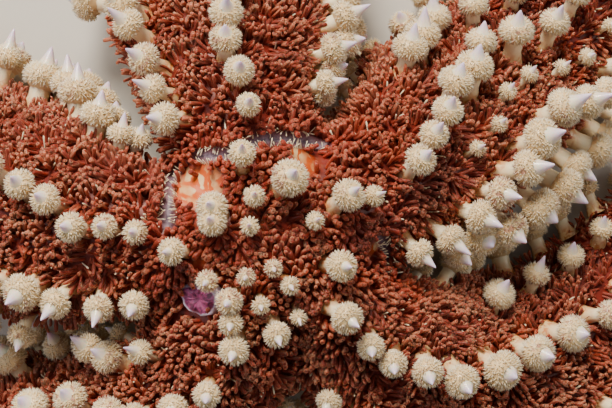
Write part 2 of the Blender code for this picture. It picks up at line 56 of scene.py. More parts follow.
# The body's driving sizes, the same as the solids'
DISC_RADIUS = 16.0 * MM
ARM_RADIUS = 120.0 * MM
ARM_NAMES = ("a", "b", "c", "d", "e")
FIRST_HEADING = math.radians(99.0)
DISC_CENTRE = np.array((-1.92, -26.99, 12.4)) * MM
DISC_TILT = math.radians(8.9)
DISC_TILT_HEADING = math.radians(-76.9)
DISC_HEIGHT = 14.5 * MM
DOME_POWER = 1.8
BASE_SLOPE = math.radians(11.0)
ARM_HEIGHT = 12.5 * MM
ARM_SWELL = 4.8 * MM
SWELL_SHARE = 0.16
PATH_STEP = 0.5 * MM
ARM_TURNS = {
    "a": ((0.0, 26.0, -22.0), (12.0, 36.0, 2.0)),
    "b": ((0.0, 26.0, 5.3), (12.0, 36.0, 15.0), (44.0, 40.0, -24.0)),
    "c": ((0.0, 26.0, 35.6), (12.0, 36.0, 51.7), (44.0, 40.0, -20.0)),
    "d": ((0.0, 26.0, -53.0), (12.0, 36.0, 4.0), (44.0, 40.0, 26.0)),
    "e": ((0.0, 26.0, -17.8), (12.0, 36.0, -24.0), (44.0, 40.0, 16.0)),
}
FLOOR_REACH = {"a": 57.5, "b": 54.0, "c": 60.0, "d": 58.0, "e": 55.6}
ARM_ROLL = {"a": -3.3, "b": -29.4, "c": -8.4, "d": 35.0, "e": 15.9}
TIP_LIFT = 4.0 * MM
TIP_LIFT_LENGTH = 16.0 * MM
GROOVE_HALF = 0.22
GROOVE_DEPTH = 0.24
LEDGE_EDGE = 0.74
SECTION_CENTRE = 0.36
SPINE_SPACING = 4.1 * MM
SPINE_SPACING_MIDWAY = 5.8 * MM
SPINE_SPACING_AT_TIP = 4.8 * MM
SPINE_HEIGHT = 5.4 * MM
SPINE_SHARE_AT_TIP = 0.27
GROWTH_START = 0.80
GROWTH_END = 1.55
GROWTH_LENGTH = 35.0 * MM
OUTWARD_LEAN = 0.9
OUTWARD_LEAN_MOST = 0.35
WREATH_WIDTH = 4.3 * MM
SEED = 7
DISC_SPINES = (
    (109, 11.4, 0.80), (81, 7.9, 1.15), (36, 9.2, 1.00), (41, 5.2, 0.50), (113, 6.9, 0.60), (134, 4.4, 0.52),
    (141, 8.6, 0.95), (152, 7.9, 0.85), (176, 11.2, 0.80), (200, 8.4, 0.62), (222, 7.4, 0.80), (231, 9.2, 0.70),
    (212, 4.4, 0.50), (240, 1.6, 0.48), (284, 3.6, 0.52), (247, 6.0, 0.50), (346, 6.8, 0.95), (313, 9.6, 1.00),
    (267, 8.4, 0.80), (285, 7.4, 0.45), (244, 11.2, 0.90), (28, 12.2, 0.62),
)
DOME_CURVE = 19.0 * MM
SIEVE_PLATE = (209, 10.6)

# Rows on each arm, in degrees up the flank and in mm from the row's first point
BACK_ANGLES = {"a": 90.0, "b": 94.0, "c": 82.0, "d": 90.0, "e": 90.0}
BACK_LEANS = {"a": 0.0, "b": 0.30, "c": -0.70, "d": 0.0, "e": 0.0}
BACK_STARTS = {"a": 2.3, "b": 4.9, "c": 0.6, "d": 3.2, "e": 0.7}
BACK_SIZES = {"a": 0.94, "b": 1.02, "c": 1.00, "d": 0.92, "e": 0.90}
FLANK_ANGLES = {"a": (38.0, 14.0), "b": (56.0, 32.0), "c": (46.0, 38.0), "d": (30.0, 38.0), "e": (38.0, 14.0)}
FLANK_STARTS = {"a": (3.4, 5.0), "b": (19.0, 1.4), "c": (17.4, 3.0), "d": (4.5, 3.1), "e": (1.1, 5.6)}
FLANK_SIZES = {"a": (1.08, 1.02), "b": (0.95, 1.10), "c": (0.82, 0.95), "d": (0.66, 0.95), "e": (1.02, 1.08)}
MARGIN_ANGLE = -6.0
MARGIN_START = 3.6
MARGIN_SIZES = {"a": (1.12, 0.90), "b": (0.90, 1.15), "c": (1.00, 0.80), "d": (0.70, 0.85), "e": (0.80, 1.10)}
SMALL_ROWS = {"b": (62.0, -1, 15.5)}
SMALL_SIZE = 0.48
MARGIN_STRETCH = 0.9

# Where the photograph was taken from
CAMERA_TARGET = np.array((2.585, -23.11, 24.0)) * MM
CAMERA_ELEVATION = math.radians(78.83)
CAMERA_AZIMUTH = math.radians(45.75)
CAMERA_ROLL = math.radians(42.43)
CAMERA_DISTANCE = 180.0 * MM
SENSOR_WIDTH = 36.0
IMAGE_WIDTH = 612.0
FOCAL_PIXELS = 8.289 * 180.0

# Width of one tuft's patch on the unwrap
PATCH = 0.003

START = DISC_RADIUS * math.cos(math.pi / 5.0)
START_HALF_WIDTH = DISC_RADIUS * math.sin(math.pi / 5.0)
ARCH = START * math.tan(BASE_SLOPE) / 2.0


def linear(code):
    """An sRGB hex colour as linear red, green and blue."""
    values = [int(code[i:i + 2], 16) / 255.0 for i in (1, 3, 5)]
    return tuple(v / 12.92 if v <= 0.04045 else ((v + 0.055) / 1.055) ** 2.4 for v in values)


def smooth(t):
    """Eased step from 0 to 1."""
    t = np.clip(t, 0.0, 1.0)
    return t * t * (3.0 - 2.0 * t)


def along(s):
    """Share of the arm's length at a distance s from the middle."""
    return (s - START) / (ARM_RADIUS - START)


def half_width(s):
    """Half the arm's width at s: swelling beside the disc, then tapering."""
    t = along(s)
    swell = START_HALF_WIDTH + ARM_SWELL * smooth(t / SWELL_SHARE)
    return swell * (1.0 - 0.80 * np.clip((t - 0.12) / 0.88, 0.0, 1.0) ** 1.15)


def arm_height(s):
    """The arm's height at s."""
    return ARM_HEIGHT * (1.0 - 0.76 * np.clip(along(s), 0.0, 1.0) ** 1.1)


def unit(v):
    """Vectors of length 1."""
    return v / np.maximum(np.linalg.norm(v, axis=-1, keepdims=True), 1e-12)


TILT_AXIS = Vector((-math.sin(DISC_TILT_HEADING), math.cos(DISC_TILT_HEADING), 0.0))
TILT = np.array(Matrix.Rotation(DISC_TILT, 3, TILT_AXIS))


def on_disc(points):
    """Points of the disc's own frame in the world."""
    return np.asarray(points) @ TILT.T + DISC_CENTRE


def arm_heading(name):
    """Heading of an arm where it leaves the disc."""
    return FIRST_HEADING - math.radians(72.0) * ARM_NAMES.index(name)


class Arm:
    """The middle line under one arm, with its side and up directions."""

    def __init__(self, name):
        heading = arm_heading(name)
        outward = np.array((math.cos(heading), math.sin(heading), 0.0))
        origin = on_disc(outward * START - np.array((0.0, 0.0, ARCH)))
        tangent = TILT @ (outward * math.cos(BASE_SLOPE) - np.array((0.0, 0.0, math.sin(BASE_SLOPE))))
        side = TILT @ np.array((-math.sin(heading), math.cos(heading), 0.0))
        first = math.atan2(tangent[1], tangent[0])
        level = np.array((-math.sin(first), math.cos(first), 0.0))
        roll = math.atan2(side @ np.cross(tangent, level), side @ level)
        self.s = START + PATH_STEP * np.arange(int(round((ARM_RADIUS - START) / PATH_STEP)) + 1)
        reach = FLOOR_REACH[name] * MM - START
        t = np.clip((self.s - START) / reach, 0.0, 1.0)
        slope = ((6 * t * t - 6 * t) * origin[2] + (3 * t * t - 4 * t + 1) * reach * tangent[2]) / reach
        from_tip = np.clip((self.s - ARM_RADIUS + TIP_LIFT_LENGTH) / TIP_LIFT_LENGTH, 0.0, 1.0)
        slope = slope + 2.0 * TIP_LIFT / TIP_LIFT_LENGTH * from_tip
        turned = np.full(len(self.s), first)
        for start, length, angle in ARM_TURNS[name]:
            turned = turned + math.radians(angle) * smooth((self.s - START - start * MM) / (length * MM))
        rolled = roll * (1.0 - smooth(t))
        rolled = rolled + math.radians(ARM_ROLL[name]) * (smooth(2.0 * t) - smooth(2.0 * t - 1.0))
        flat = np.sqrt(1.0 - slope ** 2)
        self.tangent = np.stack([np.cos(turned) * flat, np.sin(turned) * flat, slope], 1)
        level = np.stack([-np.sin(turned), np.cos(turned), 0.0 * turned], 1)
        above = np.cross(self.tangent, level)
        self.side = np.cos(rolled)[:, None] * level + np.sin(rolled)[:, None] * above
        self.up = np.cross(self.tangent, self.side)
        between = (self.tangent[1:] + self.tangent[:-1]) / 2.0 * PATH_STEP
        self.middle = origin + np.concatenate([np.zeros((1, 3)), np.cumsum(between, 0)])
        ledge = LEDGE_EDGE * half_width(self.s) * np.abs(self.side[:, 2])
        self.middle[:, 2] = np.maximum(self.middle[:, 2], ledge)

    def frame(self, s):
        """Points under the arm with tangent, side and up at distances s; it runs on straight inside START."""
        s = np.atleast_1d(np.asarray(s, float))
        rows = []
        for table in (self.middle, self.tangent, self.side, self.up):
            rows.append(np.stack([np.interp(s, self.s, table[:, k]) for k in range(3)], 1))
        rows[0] = rows[0] + rows[1] * np.minimum(s - START, 0.0)[:, None]
        return rows

    def surface(self, s, angle, proud=0.0):
        """Points, normals and tangents at distances s and angles round the arm; 90 degrees is its top."""
        point, tangent, side, up = self.frame(s)
        w = half_width(np.atleast_1d(s))
        h = arm_height(np.atleast_1d(s))
        mid = SECTION_CENTRE * h
        rise = np.where(np.sin(angle) > 0.0, h - mid, mid)
        across, high = np.cos(angle), np.sin(angle)
        place = point + side * (w * across)[:, None] + up * (mid + rise * high)[:, None]
        normal = unit(side * (across / w)[:, None] + up * (high / rise)[:, None])
        return place + normal * proud, normal, tangent


ARMS = {name: Arm(name) for name in ARM_NAMES}


def solid(name, vertices, faces, attributes=None, patches=None):
    """A mesh object from vertices and from arrays of faces, with attributes and an OFBake map.

    Soft tips that reach the floor lie flat on it.
    """
    vertices = np.array(vertices, np.float32)
    vertices[:, 2] = np.maximum(vertices[:, 2], 0.0)
    mesh = bpy.data.meshes.new(name)
    mesh.vertices.add(len(vertices))
    mesh.vertices.foreach_set("co", vertices.ravel())
    corners = np.concatenate([np.asarray(f, np.int32).ravel() for f in faces])
    counts = np.concatenate([np.full(len(f), np.asarray(f).shape[1], np.int32) for f in faces])
    mesh.loops.add(len(corners))
    mesh.loops.foreach_set("vertex_index", corners)
    mesh.polygons.add(len(counts))
    starts = np.concatenate([[0], np.cumsum(counts)[:-1]]).astype(np.int32)
    mesh.polygons.foreach_set("loop_start", starts)
    mesh.polygons.foreach_set("use_smooth", np.ones(len(counts), bool))
    mesh.update(calc_edges=True)
    for label, values in (attributes or {}).items():
        layer = mesh.attributes.new(label, "FLOAT", "POINT")
        layer.data.foreach_set("value", np.asarray(values, np.float32))
    if patches is not None:
        layer = mesh.uv_layers.new(name="OFBake")
        layer.data.foreach_set("uv", np.asarray(patches, np.float32)[corners].ravel())
    obj = bpy.data.objects.new(name, mesh)
    bpy.context.collection.objects.link(obj)
    return obj


def finish_piece(obj, material):
    """Give a piece its material and its slot, and let it ride on the body."""
    obj.data.materials.append(material)
    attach(obj, "root")
    return obj


def frames_about(directions, spin):
    """Two directions square to each given one, turned about it by spin."""
    steep = np.abs(directions[:, 2:3]) >= 0.9
    helper = np.where(steep, np.array([[1.0, 0.0, 0.0]]), np.array([[0.0, 0.0, 1.0]]))
    aside = unit(np.cross(directions, helper))
    across = np.cross(directions, aside)
    c, s = np.cos(spin)[:, None], np.sin(spin)[:, None]
    return aside * c + across * s, across * c - aside * s


def turned_faces(rings, sides):
    """Faces of one turned piece: quads between its rings, and triangles to its end vertex."""
    quads = []
    for r in range(rings - 1):
        for k in range(sides):
            n = (k + 1) % sides
            quads.append((r * sides + k, r * sides + n, (r + 1) * sides + n, (r + 1) * sides + k))
    last = (rings - 1) * sides
    tips = [(last + k, last + (k + 1) % sides, rings * sides) for k in range(sides)]
    return np.array(quads, np.int32).reshape(-1, 4), np.array(tips, np.int32).reshape(-1, 3)


def many_turned(roots, directions, lengths, radii, profile, sides, spin, bend=None, shrink=1.0, patch=None):
    """Vertices, faces, rise and map places of many alike turned pieces; the profile's last pair closes them."""
    count = len(roots)
    rise = np.array([p[0] for p in profile])
    wide = np.array([p[1] for p in profile])
    aside, across = frames_about(directions, spin)
    angle = 2.0 * math.pi * np.arange(sides) / sides
    ring = aside[:, None, :] * np.cos(angle)[None, :, None]
    ring = ring + across[:, None, :] * (np.sin(angle) * shrink)[None, :, None]
    rings = len(profile) - 1
    centre = roots[:, None, :] + directions[:, None, :] * (rise[None, :] * lengths[:, None])[:, :, None]
    if bend is not None:
        swing = np.clip(rise, 0.0, 2.0) ** 2
        centre = centre + bend[:, None, :] * swing[None, :, None] * lengths[:, None, None]
    reach = wide[None, :rings] * radii[:, None]
    body = centre[:, :rings, None, :] + ring[:, None, :, :] * reach[:, :, None, None]
    vertices = np.concatenate([body.reshape(count, rings * sides, 3), centre[:, rings:rings + 1, :]], 1)
    per = rings * sides + 1
    quads, tips = turned_faces(rings, sides)
    base = (np.arange(count) * per)[:, None, None]
    faces = [(quads[None] + base).reshape(-1, 4), (tips[None] + base).reshape(-1, 3)]
    level = np.concatenate([np.repeat(rise[:rings], sides), [rise[rings]]])
    places = None
    if patch is not None:
        around = np.tile(np.arange(sides) / sides - 0.5, rings)
        upward = np.repeat(rise[:rings], sides) - 0.5
        local = np.concatenate([np.stack([around, upward], 1), [[0.0, 0.5]]])
        places = (patch[:, None, :] + local[None] * PATCH).reshape(-1, 2)
    return vertices.reshape(-1, 3), faces, np.tile(level, count), places, per


def turned_piece(name, places, shape, marks, material):
    """One joined piece of turned parts: their roots, directions, lengths, radii, profile, sides and spin."""
    vertices, faces, rise, patches, _ = many_turned(*shape, patch=np.array(places))
    marks = {label: value(rise) for label, value in marks.items()}
    return finish_piece(solid(name, vertices, faces, marks, patches), material)


def as_is(rise):
    """The rise itself, as a mark."""
    return rise


def constant(value):
    """A mark with one value everywhere."""
    return lambda rise: np.full(len(rise), value)


def join_parts(parts):
    """Put several (vertices, faces, attributes, places) parts into one."""
    vertices, tris, quads, places = [], [], [], []
    attributes = {}
    base = 0
    for v, faces, marks, place in parts:
        vertices.append(v)
        for f in faces:
            (quads if f.shape[1] == 4 else tris).append(f + base)
        for label, values in marks.items():
            attributes.setdefault(label, []).append(values)
        places.append(place)
        base += len(v)
    faces = [np.concatenate(group) for group in (quads, tris) if group]
    marks = {label: np.concatenate(values) for label, values in attributes.items()}
    return np.concatenate(vertices), faces, marks, np.concatenate(places)


def length_property(label, text, size):
    """A length in metres for the panel."""
    return FloatProperty(name=label, description=text, default=size, unit="LENGTH", precision=5)


def colour_property(label, text, code):
    """A colour for the panel, from an sRGB hex code."""
    return FloatVectorProperty(name=label, description=text, default=linear(code), subtype="COLOR")


class StarfishBody(PropertyGroup):
    """Sizes of the skin and of the gill carpet on it."""
    carpet: length_property("Carpet depth", "How far the skin lies under the tips of the gills", 1.35 * MM)
    skin_grain: length_property("Skin grain", "Size of the skin mesh's squares", 0.62 * MM)
    gill_length: length_property("Gill length", "Length of a gill finger beside the disc", 2.05 * MM)
    gill_width: length_property("Gill width", "Width of a gill finger beside the disc", 0.55 * MM)
    gill_spacing: length_property("Gill spacing", "Distance between gill fingers", 0.62 * MM)
    near_length: length_property("Fine length", "How far from the middle the carpet is finest", 36.0 * MM)


class StarfishSpines(PropertyGroup):
    """Sizes of the spines and of their wreaths."""
    pincers: IntProperty(name="Pincers", description="Pincers in a full-sized wreath", default=330, min=8)
    pincer_length: length_property("Pincer length", "How far a pincer stands out of its cushion", 0.52 * MM)
    pincer_width: length_property("Pincer width", "Width of a pincer at its base", 0.24 * MM)
    cushion: FloatProperty(name="Cushion share", description="Cushion's width as a share of the wreath's",
                           default=0.82, subtype="FACTOR")
    point: FloatProperty(name="Point share", description="Bare point's width as a share of the wreath's",
                         default=0.30, subtype="FACTOR")


class StarfishColours(PropertyGroup):
    """Colours of the animal and of the floor."""
    skin: colour_property("Skin", "Skin between the gills", "#781E0E")
    bare: colour_property("Bare skin", "Bare skin round the spines", "#E2C08C")
    streak: colour_property("Threads", "Orange threads in the bare skin", "#C65400")
    crease: colour_property("Crease", "Skin in the folds round the disc", "#857585")
    # Gill foot, core and rim colours paint light and shade: a darker foot as shade between the fingers, a dark
    # core as shade on each finger's upper side and end, and a pale rim as light glowing through the thin wall
    gill_foot_shade: colour_property("Gill base", "Gill fingers at their roots", "#8E3A28")
    gill_body: colour_property("Gill body", "Gill fingers' sides", "#8C5240")
    gill_core_shade: colour_property("Gill core", "Hollow seen through the walls", "#783024")
    gill_rim_glow: colour_property("Gill tip", "Gill fingers' rims", "#A66A50")
    wreath: colour_property("Wreath", "Pincers of the wreaths", "#F6E4C0")
    point: colour_property("Spine point", "Bare points of the spines", "#DCCCE4")
    sieve: colour_property("Sieve plate", "Water sieve on the disc", "#A04474")
    feet: colour_property("Tube feet", "Tube feet in the grooves", "#D9B98A")
    floor: colour_property("Floor", "Floor under the animal", "#C9C6C0")


def add(tree, kind, inputs=None, **settings):
    """Add one node, set it, and give each named input its value or its link; returns the node's outputs."""
    node = tree.nodes.new(kind)
    for key, value in settings.items():
        setattr(node, key, value)
    for key, source in (inputs or {}).items():
        if isinstance(source, bpy.types.NodeSocket):
            tree.links.new(source, node.inputs[key])
        else:
            node.inputs[key].default_value = source
    return node.outputs


def new_material(name, values):
    """A node material whose shader has the given values; returns it, its tree, its shader and the place."""
    material = bpy.data.materials.new(name)
    material.use_nodes = True
    tree = material.node_tree
    tree.nodes.clear()
    shader = tree.nodes.new("ShaderNodeBsdfPrincipled")
    for key, value in values.items():
        shader.inputs[key].default_value = value
    output = tree.nodes.new("ShaderNodeOutputMaterial")
    tree.links.new(shader.outputs["BSDF"], output.inputs["Surface"])
    return material, tree, shader, add(tree, "ShaderNodeTexCoord")["Object"]


def finish_material(tree, shader, colour, height, strength, depth):
    """Link the colour, and a bump of the given strength and depth from a height."""
    tree.links.new(colour, shader.inputs["Base Color"])
    bump = add(tree, "ShaderNodeBump", {"Strength": strength, "Distance": depth, "Height": height})
    tree.links.new(bump["Normal"], shader.inputs["Normal"])


def rgba(colour):
    """A linear colour with full opacity."""
    return (colour[0], colour[1], colour[2], 1.0)


def per_mm(size):
    """Texture scale of a pattern whose forms are the given number of millimetres across."""
    return 1.0 / (size * MM)


NOISE = "ShaderNodeTexNoise"
RANGE = "ShaderNodeMapRange"
MIX = "ShaderNodeMix"
MATH = "ShaderNodeMath"
MARK = "ShaderNodeAttribute"
EASED = {"interpolation_type": "SMOOTHSTEP"}
COLOUR = {"data_type": "RGBA"}
TIMES = {"operation": "MULTIPLY"}


def marked(tree, name, low, high, under, over):
    """Pass from one colour to another where a mark of the mesh goes from low to high."""
    mark = add(tree, MARK, attribute_name=name)["Fac"]
    share = add(tree, RANGE, {0: mark, 1: low, 2: high}, **EASED)[0]
    return add(tree, MIX, {0: share, 6: under, 7: over}, **COLOUR)[2]


def speckled(tree, place, body, size, detail, low, high, most, tint):
    """Specks of a tint, size mm across, where a noise goes from low to high, as strong as most."""
    specks = add(tree, NOISE, {"Vector": place, "Scale": per_mm(size), "Detail": detail})["Fac"]
    specks = add(tree, RANGE, {0: specks, 1: low, 2: high}, **EASED)[0]
    share = add(tree, MATH, {0: specks, 1: most}, **TIMES)[0]
    return add(tree, MIX, {0: share, 6: body, 7: rgba(linear(tint))}, **COLOUR)[2]


def wet_skin(colours):
    """Wet living skin: dark under gills, tan and orange where bare, lilac-grey in folds, straw below."""
    material, tree, shader, place = new_material("wet_living_skin", {
        "Roughness": 0.50, "Specular IOR Level": 0.25, "Coat Weight": 0.12, "Coat Roughness": 0.20,
        "Subsurface Weight": 0.06, "Subsurface Radius": (1.0, 0.35, 0.2), "Subsurface Scale": 0.8 * MM})
    # Blood-dark blotches, 2.4 mm across
    blotch = add(tree, NOISE, {"Vector": place, "Scale": per_mm(2.4), "Detail": 3.0})["Fac"]
    share = add(tree, RANGE, {0: blotch, 1: 0.35, 2: 0.65}, **EASED)[0]
    dark = tuple(c * 0.55 for c in colours.skin)
    ground = add(tree, MIX, {0: share, 6: rgba(dark), 7: rgba(colours.skin)}, **COLOUR)[2]
    # Orange threads: a bent net with cells of 2.3 mm, broken up in patches, and strands 6 mm apart
    wander = add(tree, NOISE, {"Vector": place, "Scale": per_mm(1.4), "Detail": 2.0})["Color"]
    shift = add(tree, "ShaderNodeVectorMath", {0: wander, 3: 1.1 * MM}, operation="SCALE")[0]
    bent = add(tree, "ShaderNodeVectorMath", {0: place, 1: shift}, operation="ADD")[0]
    cells = {"Vector": bent, "Scale": per_mm(2.3)}
    edge = add(tree, "ShaderNodeTexVoronoi", cells, feature="DISTANCE_TO_EDGE")["Distance"]
    net = add(tree, RANGE, {0: edge, 1: 0.18, 2: 0.09}, **EASED)[0]
    patchy = add(tree, NOISE, {"Vector": place, "Scale": per_mm(2.6), "Detail": 1.0})["Fac"]
    patchy = add(tree, RANGE, {0: patchy, 1: 0.38, 2: 0.50}, **EASED)[0]
    net = add(tree, MATH, {0: net, 1: patchy}, **TIMES)[0]
    waves = {"Vector": place, "Scale": per_mm(6.0), "Distortion": 9.0, "Detail": 3.0, "Detail Scale": 1.6}
    strands = add(tree, "ShaderNodeTexWave", waves)["Fac"]
    strands = add(tree, RANGE, {0: strands, 1: 0.74, 2: 0.88}, **EASED)[0]
    threads = add(tree, MATH, {0: net, 1: strands}, operation="MAXIMUM")[0]
    share = add(tree, RANGE, {0: blotch, 1: 0.40, 2: 0.70}, **EASED)[0]
    tan = add(tree, MIX, {0: share, 6: rgba(colours.bare), 7: rgba(linear("#CC8040"))}, **COLOUR)[2]
    tan = add(tree, MIX, {0: threads, 6: tan, 7: rgba(colours.streak)}, **COLOUR)[2]
    bare = add(tree, MARK, attribute_name="bare")["Fac"]
    ground = add(tree, MIX, {0: bare, 6: ground, 7: tan}, **COLOUR)[2]
    # Straw-coloured underside, mottled at 1.6 mm
    mottle = add(tree, NOISE, {"Vector": place, "Scale": per_mm(1.6), "Detail": 3.0})["Fac"]
    share = add(tree, RANGE, {0: mottle, 1: 0.40, 2: 0.65}, **EASED)[0]
    straw = add(tree, MIX, {0: share, 6: rgba(linear("#D9BC94")), 7: rgba(linear("#A97850"))}, **COLOUR)[2]
    belly = add(tree, MARK, attribute_name="belly")["Fac"]
    ground = add(tree, MIX, {0: belly, 6: ground, 7: straw}, **COLOUR)[2]
    # Lilac-grey folds, crossed by darker wrinkles half a millimetre wide
    wrinkle = add(tree, NOISE, {"Vector": place, "Scale": per_mm(0.5), "Detail": 2.0})["Fac"]
    share = add(tree, RANGE, {0: wrinkle, 1: 0.4, 2: 0.7}, **EASED)[0]
    shade = tuple(c * 0.45 for c in colours.crease)
    fold = add(tree, MIX, {0: share, 6: rgba(colours.crease), 7: rgba(shade)}, **COLOUR)[2]
    crease = add(tree, MARK, attribute_name="crease")["Fac"]
    ground = add(tree, MIX, {0: crease, 6: ground, 7: fold}, **COLOUR)[2]
    pores = add(tree, NOISE, {"Vector": place, "Scale": per_mm(0.45), "Detail": 3.0})["Fac"]
    finish_material(tree, shader, ground, pores, 0.35, 0.2 * MM)
    return material


def gill_membrane(colours):
    """Thin wet gill fingers: a rust wall that lets light through, with light and shade painted along each finger:
    a paler rim painted as light glowing through the thin wall, a dark core painted as shade at the tip and on the
    upper side, and a darker red foot painted as shade between the fingers.
    """
    material, tree, shader, place = new_material("wet_gill_membrane", {
        "Roughness": 0.48, "Specular IOR Level": 0.22, "Coat Weight": 0.05, "Coat Roughness": 0.25,
        "Sheen Weight": 0.32, "Sheen Roughness": 0.35, "Sheen Tint": rgba(linear("#E89A78")),
        "Subsurface Weight": 0.75, "Subsurface Radius": (1.0, 0.45, 0.35), "Subsurface Scale": 1.0 * MM})
    # Along each finger: a red foot darkened as painted shade between the fingers, a rust wall, a paler rim
    # painted as light glowing through the thin wall, and the dark core painted as shade on the upper side and at
    # the end
    wall = marked(tree, "rise", 0.30, 0.85, rgba(colours.gill_body), rgba(colours.gill_rim_glow))
    body = marked(tree, "upper_shade", 0.25, 0.80, wall, rgba(colours.gill_core_shade))
    body = marked(tree, "rise", 0.55, 0.05, body, rgba(colours.gill_foot_shade))
    # Finger by finger: some duskier, and redder beside the folds
    dusky = add(tree, MIX, {0: 0.45, 6: body, 7: rgba(linear("#702414"))}, **COLOUR)[2]
    body = marked(tree, "tone", 0.75, 0.1, body, dusky)
    blush = add(tree, MARK, attribute_name="blush")["Fac"]
    share = add(tree, MATH, {0: blush, 1: 0.5}, **TIMES)[0]
    body = add(tree, MIX, {0: share, 6: body, 7: rgba(linear("#9A3424"))}, **COLOUR)[2]
    # Amber drifts 5 mm across and mauve ones 11 mm across, as the whole carpet shows
    body = speckled(tree, place, body, 5.0, 2.0, 0.52, 0.68, 0.45, "#9C3C1C")
    body = speckled(tree, place, body, 11.0, 1.0, 0.48, 0.66, 0.50, "#74382E")
    wrinkles = add(tree, NOISE, {"Vector": place, "Scale": per_mm(0.22), "Detail": 2.0})["Fac"]
    finish_material(tree, shader, body, wrinkles, 0.25, 0.08 * MM)
    return material


def pincer_chalk(colours):
    """Pincers of limestone in thin skin: ivory and half clear at their ends, tan below as painted shade in the
    recesses between them, with wine flecks.
    """
    material, tree, shader, place = new_material("chalky_pincer_skin", {
        "Roughness": 0.5, "Coat Weight": 0.1,
        "Subsurface Weight": 0.4, "Subsurface Radius": (1.0, 0.8, 0.55), "Subsurface Scale": 0.5 * MM})
    # Painted shade: each pincer darkens to tan towards its foot, as shade in the recesses between the pincers
    base = tuple(c * f for c, f in zip(colours.wreath, (0.84, 0.70, 0.50)))
    body = marked(tree, "rise", 0.0, 0.7, rgba(base), rgba(colours.wreath))
    tone = add(tree, MARK, attribute_name="tone")["Fac"]
    share = add(tree, MATH, {0: tone, 1: 0.35}, **TIMES)[0]
    body = add(tree, MIX, {0: share, 6: body, 7: rgba(linear("#D9C09A"))}, **COLOUR)[2]
    # Tan specks a third of a millimetre across
    body = speckled(tree, place, body, 0.35, 2.0, 0.62, 0.72, 0.35, "#A98560")
    # Wine-red flecks 0.7 mm across, in patches of 8 mm
    patches = add(tree, NOISE, {"Vector": place, "Scale": per_mm(8.0), "Detail": 1.0})["Fac"]
    patches = add(tree, RANGE, {0: patches, 1: 0.56, 2: 0.64}, **EASED)[0]
    flecks = add(tree, NOISE, {"Vector": place, "Scale": per_mm(0.7), "Detail": 3.0})["Fac"]
    flecks = add(tree, RANGE, {0: flecks, 1: 0.50, 2: 0.60}, **EASED)[0]
    flecks = add(tree, MATH, {0: patches, 1: flecks}, **TIMES)[0]
    share = add(tree, MATH, {0: flecks, 1: 0.6}, **TIMES)[0]
    body = add(tree, MIX, {0: share, 6: body, 7: rgba(linear("#8E3A48"))}, **COLOUR)[2]
    grain = add(tree, NOISE, {"Vector": place, "Scale": per_mm(0.18), "Detail": 2.0})["Fac"]
    finish_material(tree, shader, body, grain, 0.2, 0.06 * MM)
    return material


def stalk_skin(colours):
    """Bare skin over a spine's stem: tan and orange at the foot, cream above, smooth and wet."""
    material, tree, shader, place = new_material("bare_stem_skin", {
        "Roughness": 0.4, "Coat Weight": 0.2,
        "Subsurface Weight": 0.35, "Subsurface Radius": (1.0, 0.8, 0.5), "Subsurface Scale": 0.8 * MM})
    streaks = add(tree, NOISE, {"Vector": place, "Scale": per_mm(0.9), "Detail": 2.0, "Distortion": 1.0})["Fac"]
    share = add(tree, RANGE, {0: streaks, 1: 0.42, 2: 0.62}, **EASED)[0]
    foot = add(tree, MIX, {0: share, 6: rgba(colours.bare), 7: rgba(linear("#CC8246"))}, **COLOUR)[2]
    body = marked(tree, "rise", 0.10, 0.6, foot, rgba(linear("#F2E2BE")))
    creases = add(tree, NOISE, {"Vector": place, "Scale": per_mm(0.4), "Detail": 3.0})["Fac"]
    finish_material(tree, shader, body, creases, 0.25, 0.1 * MM)
    return material


def spine_calcite(colours):
    """Bare calcite point: smooth, pale lilac, paler at its end, with fine flecks."""
    material, tree, shader, place = new_material("lilac_calcite", {
        "Roughness": 0.32, "Coat Weight": 0.25, "Subsurface Weight": 0.3, "Subsurface Scale": 0.7 * MM})
    body = marked(tree, "rise", 0.1, 0.8, rgba(linear("#EADFC6")), rgba(colours.point))
    body = speckled(tree, place, body, 0.6, 3.0, 0.5, 0.8, 0.4, "#C9B3CC")
    grain = add(tree, NOISE, {"Vector": place, "Scale": per_mm(0.25), "Detail": 2.0})["Fac"]
    finish_material(tree, shader, body, grain, 0.15, 0.05 * MM)
    return material


def sieve_limestone(colours):
    """The water sieve: porous purple limestone with a pale lilac rim."""
    material, tree, shader, place = new_material("porous_sieve_plate", {
        "Roughness": 0.4, "Subsurface Weight": 0.2, "Subsurface Scale": 0.6 * MM})
    pores = add(tree, NOISE, {"Vector": place, "Scale": per_mm(0.5), "Detail": 3.0})["Fac"]
    share = add(tree, RANGE, {0: pores, 1: 0.4, 2: 0.65}, **EASED)[0]
    dark = tuple(c * 0.35 for c in colours.sieve)
    body = add(tree, MIX, {0: share, 6: rgba(colours.sieve), 7: rgba(dark)}, **COLOUR)[2]
    body = marked(tree, "rim", 0.25, 0.95, body, rgba(linear("#E3D2E4")))
    pits = add(tree, NOISE, {"Vector": place, "Scale": per_mm(0.35), "Detail": 3.0})["Fac"]
    finish_material(tree, shader, body, pits, 0.6, 0.15 * MM)
    return material


def foot_membrane(colours):
    """Tube feet: straw-coloured muscle walls, half clear, with paler suckers."""
    material, tree, shader, place = new_material("tube_foot_muscle", {
        "Roughness": 0.35, "Coat Weight": 0.3, "Subsurface Weight": 0.5, "Subsurface Scale": 0.8 * MM})
    body = marked(tree, "rise", 0.7, 1.0, rgba(colours.feet), rgba(linear("#F1E3C6")))
    body = speckled(tree, place, body, 1.2, 2.0, 0.45, 0.7, 0.4, "#C08A50")
    rings = add(tree, NOISE, {"Vector": place, "Scale": per_mm(0.3), "Detail": 2.0})["Fac"]
    finish_material(tree, shader, body, rings, 0.3, 0.08 * MM)
    return material


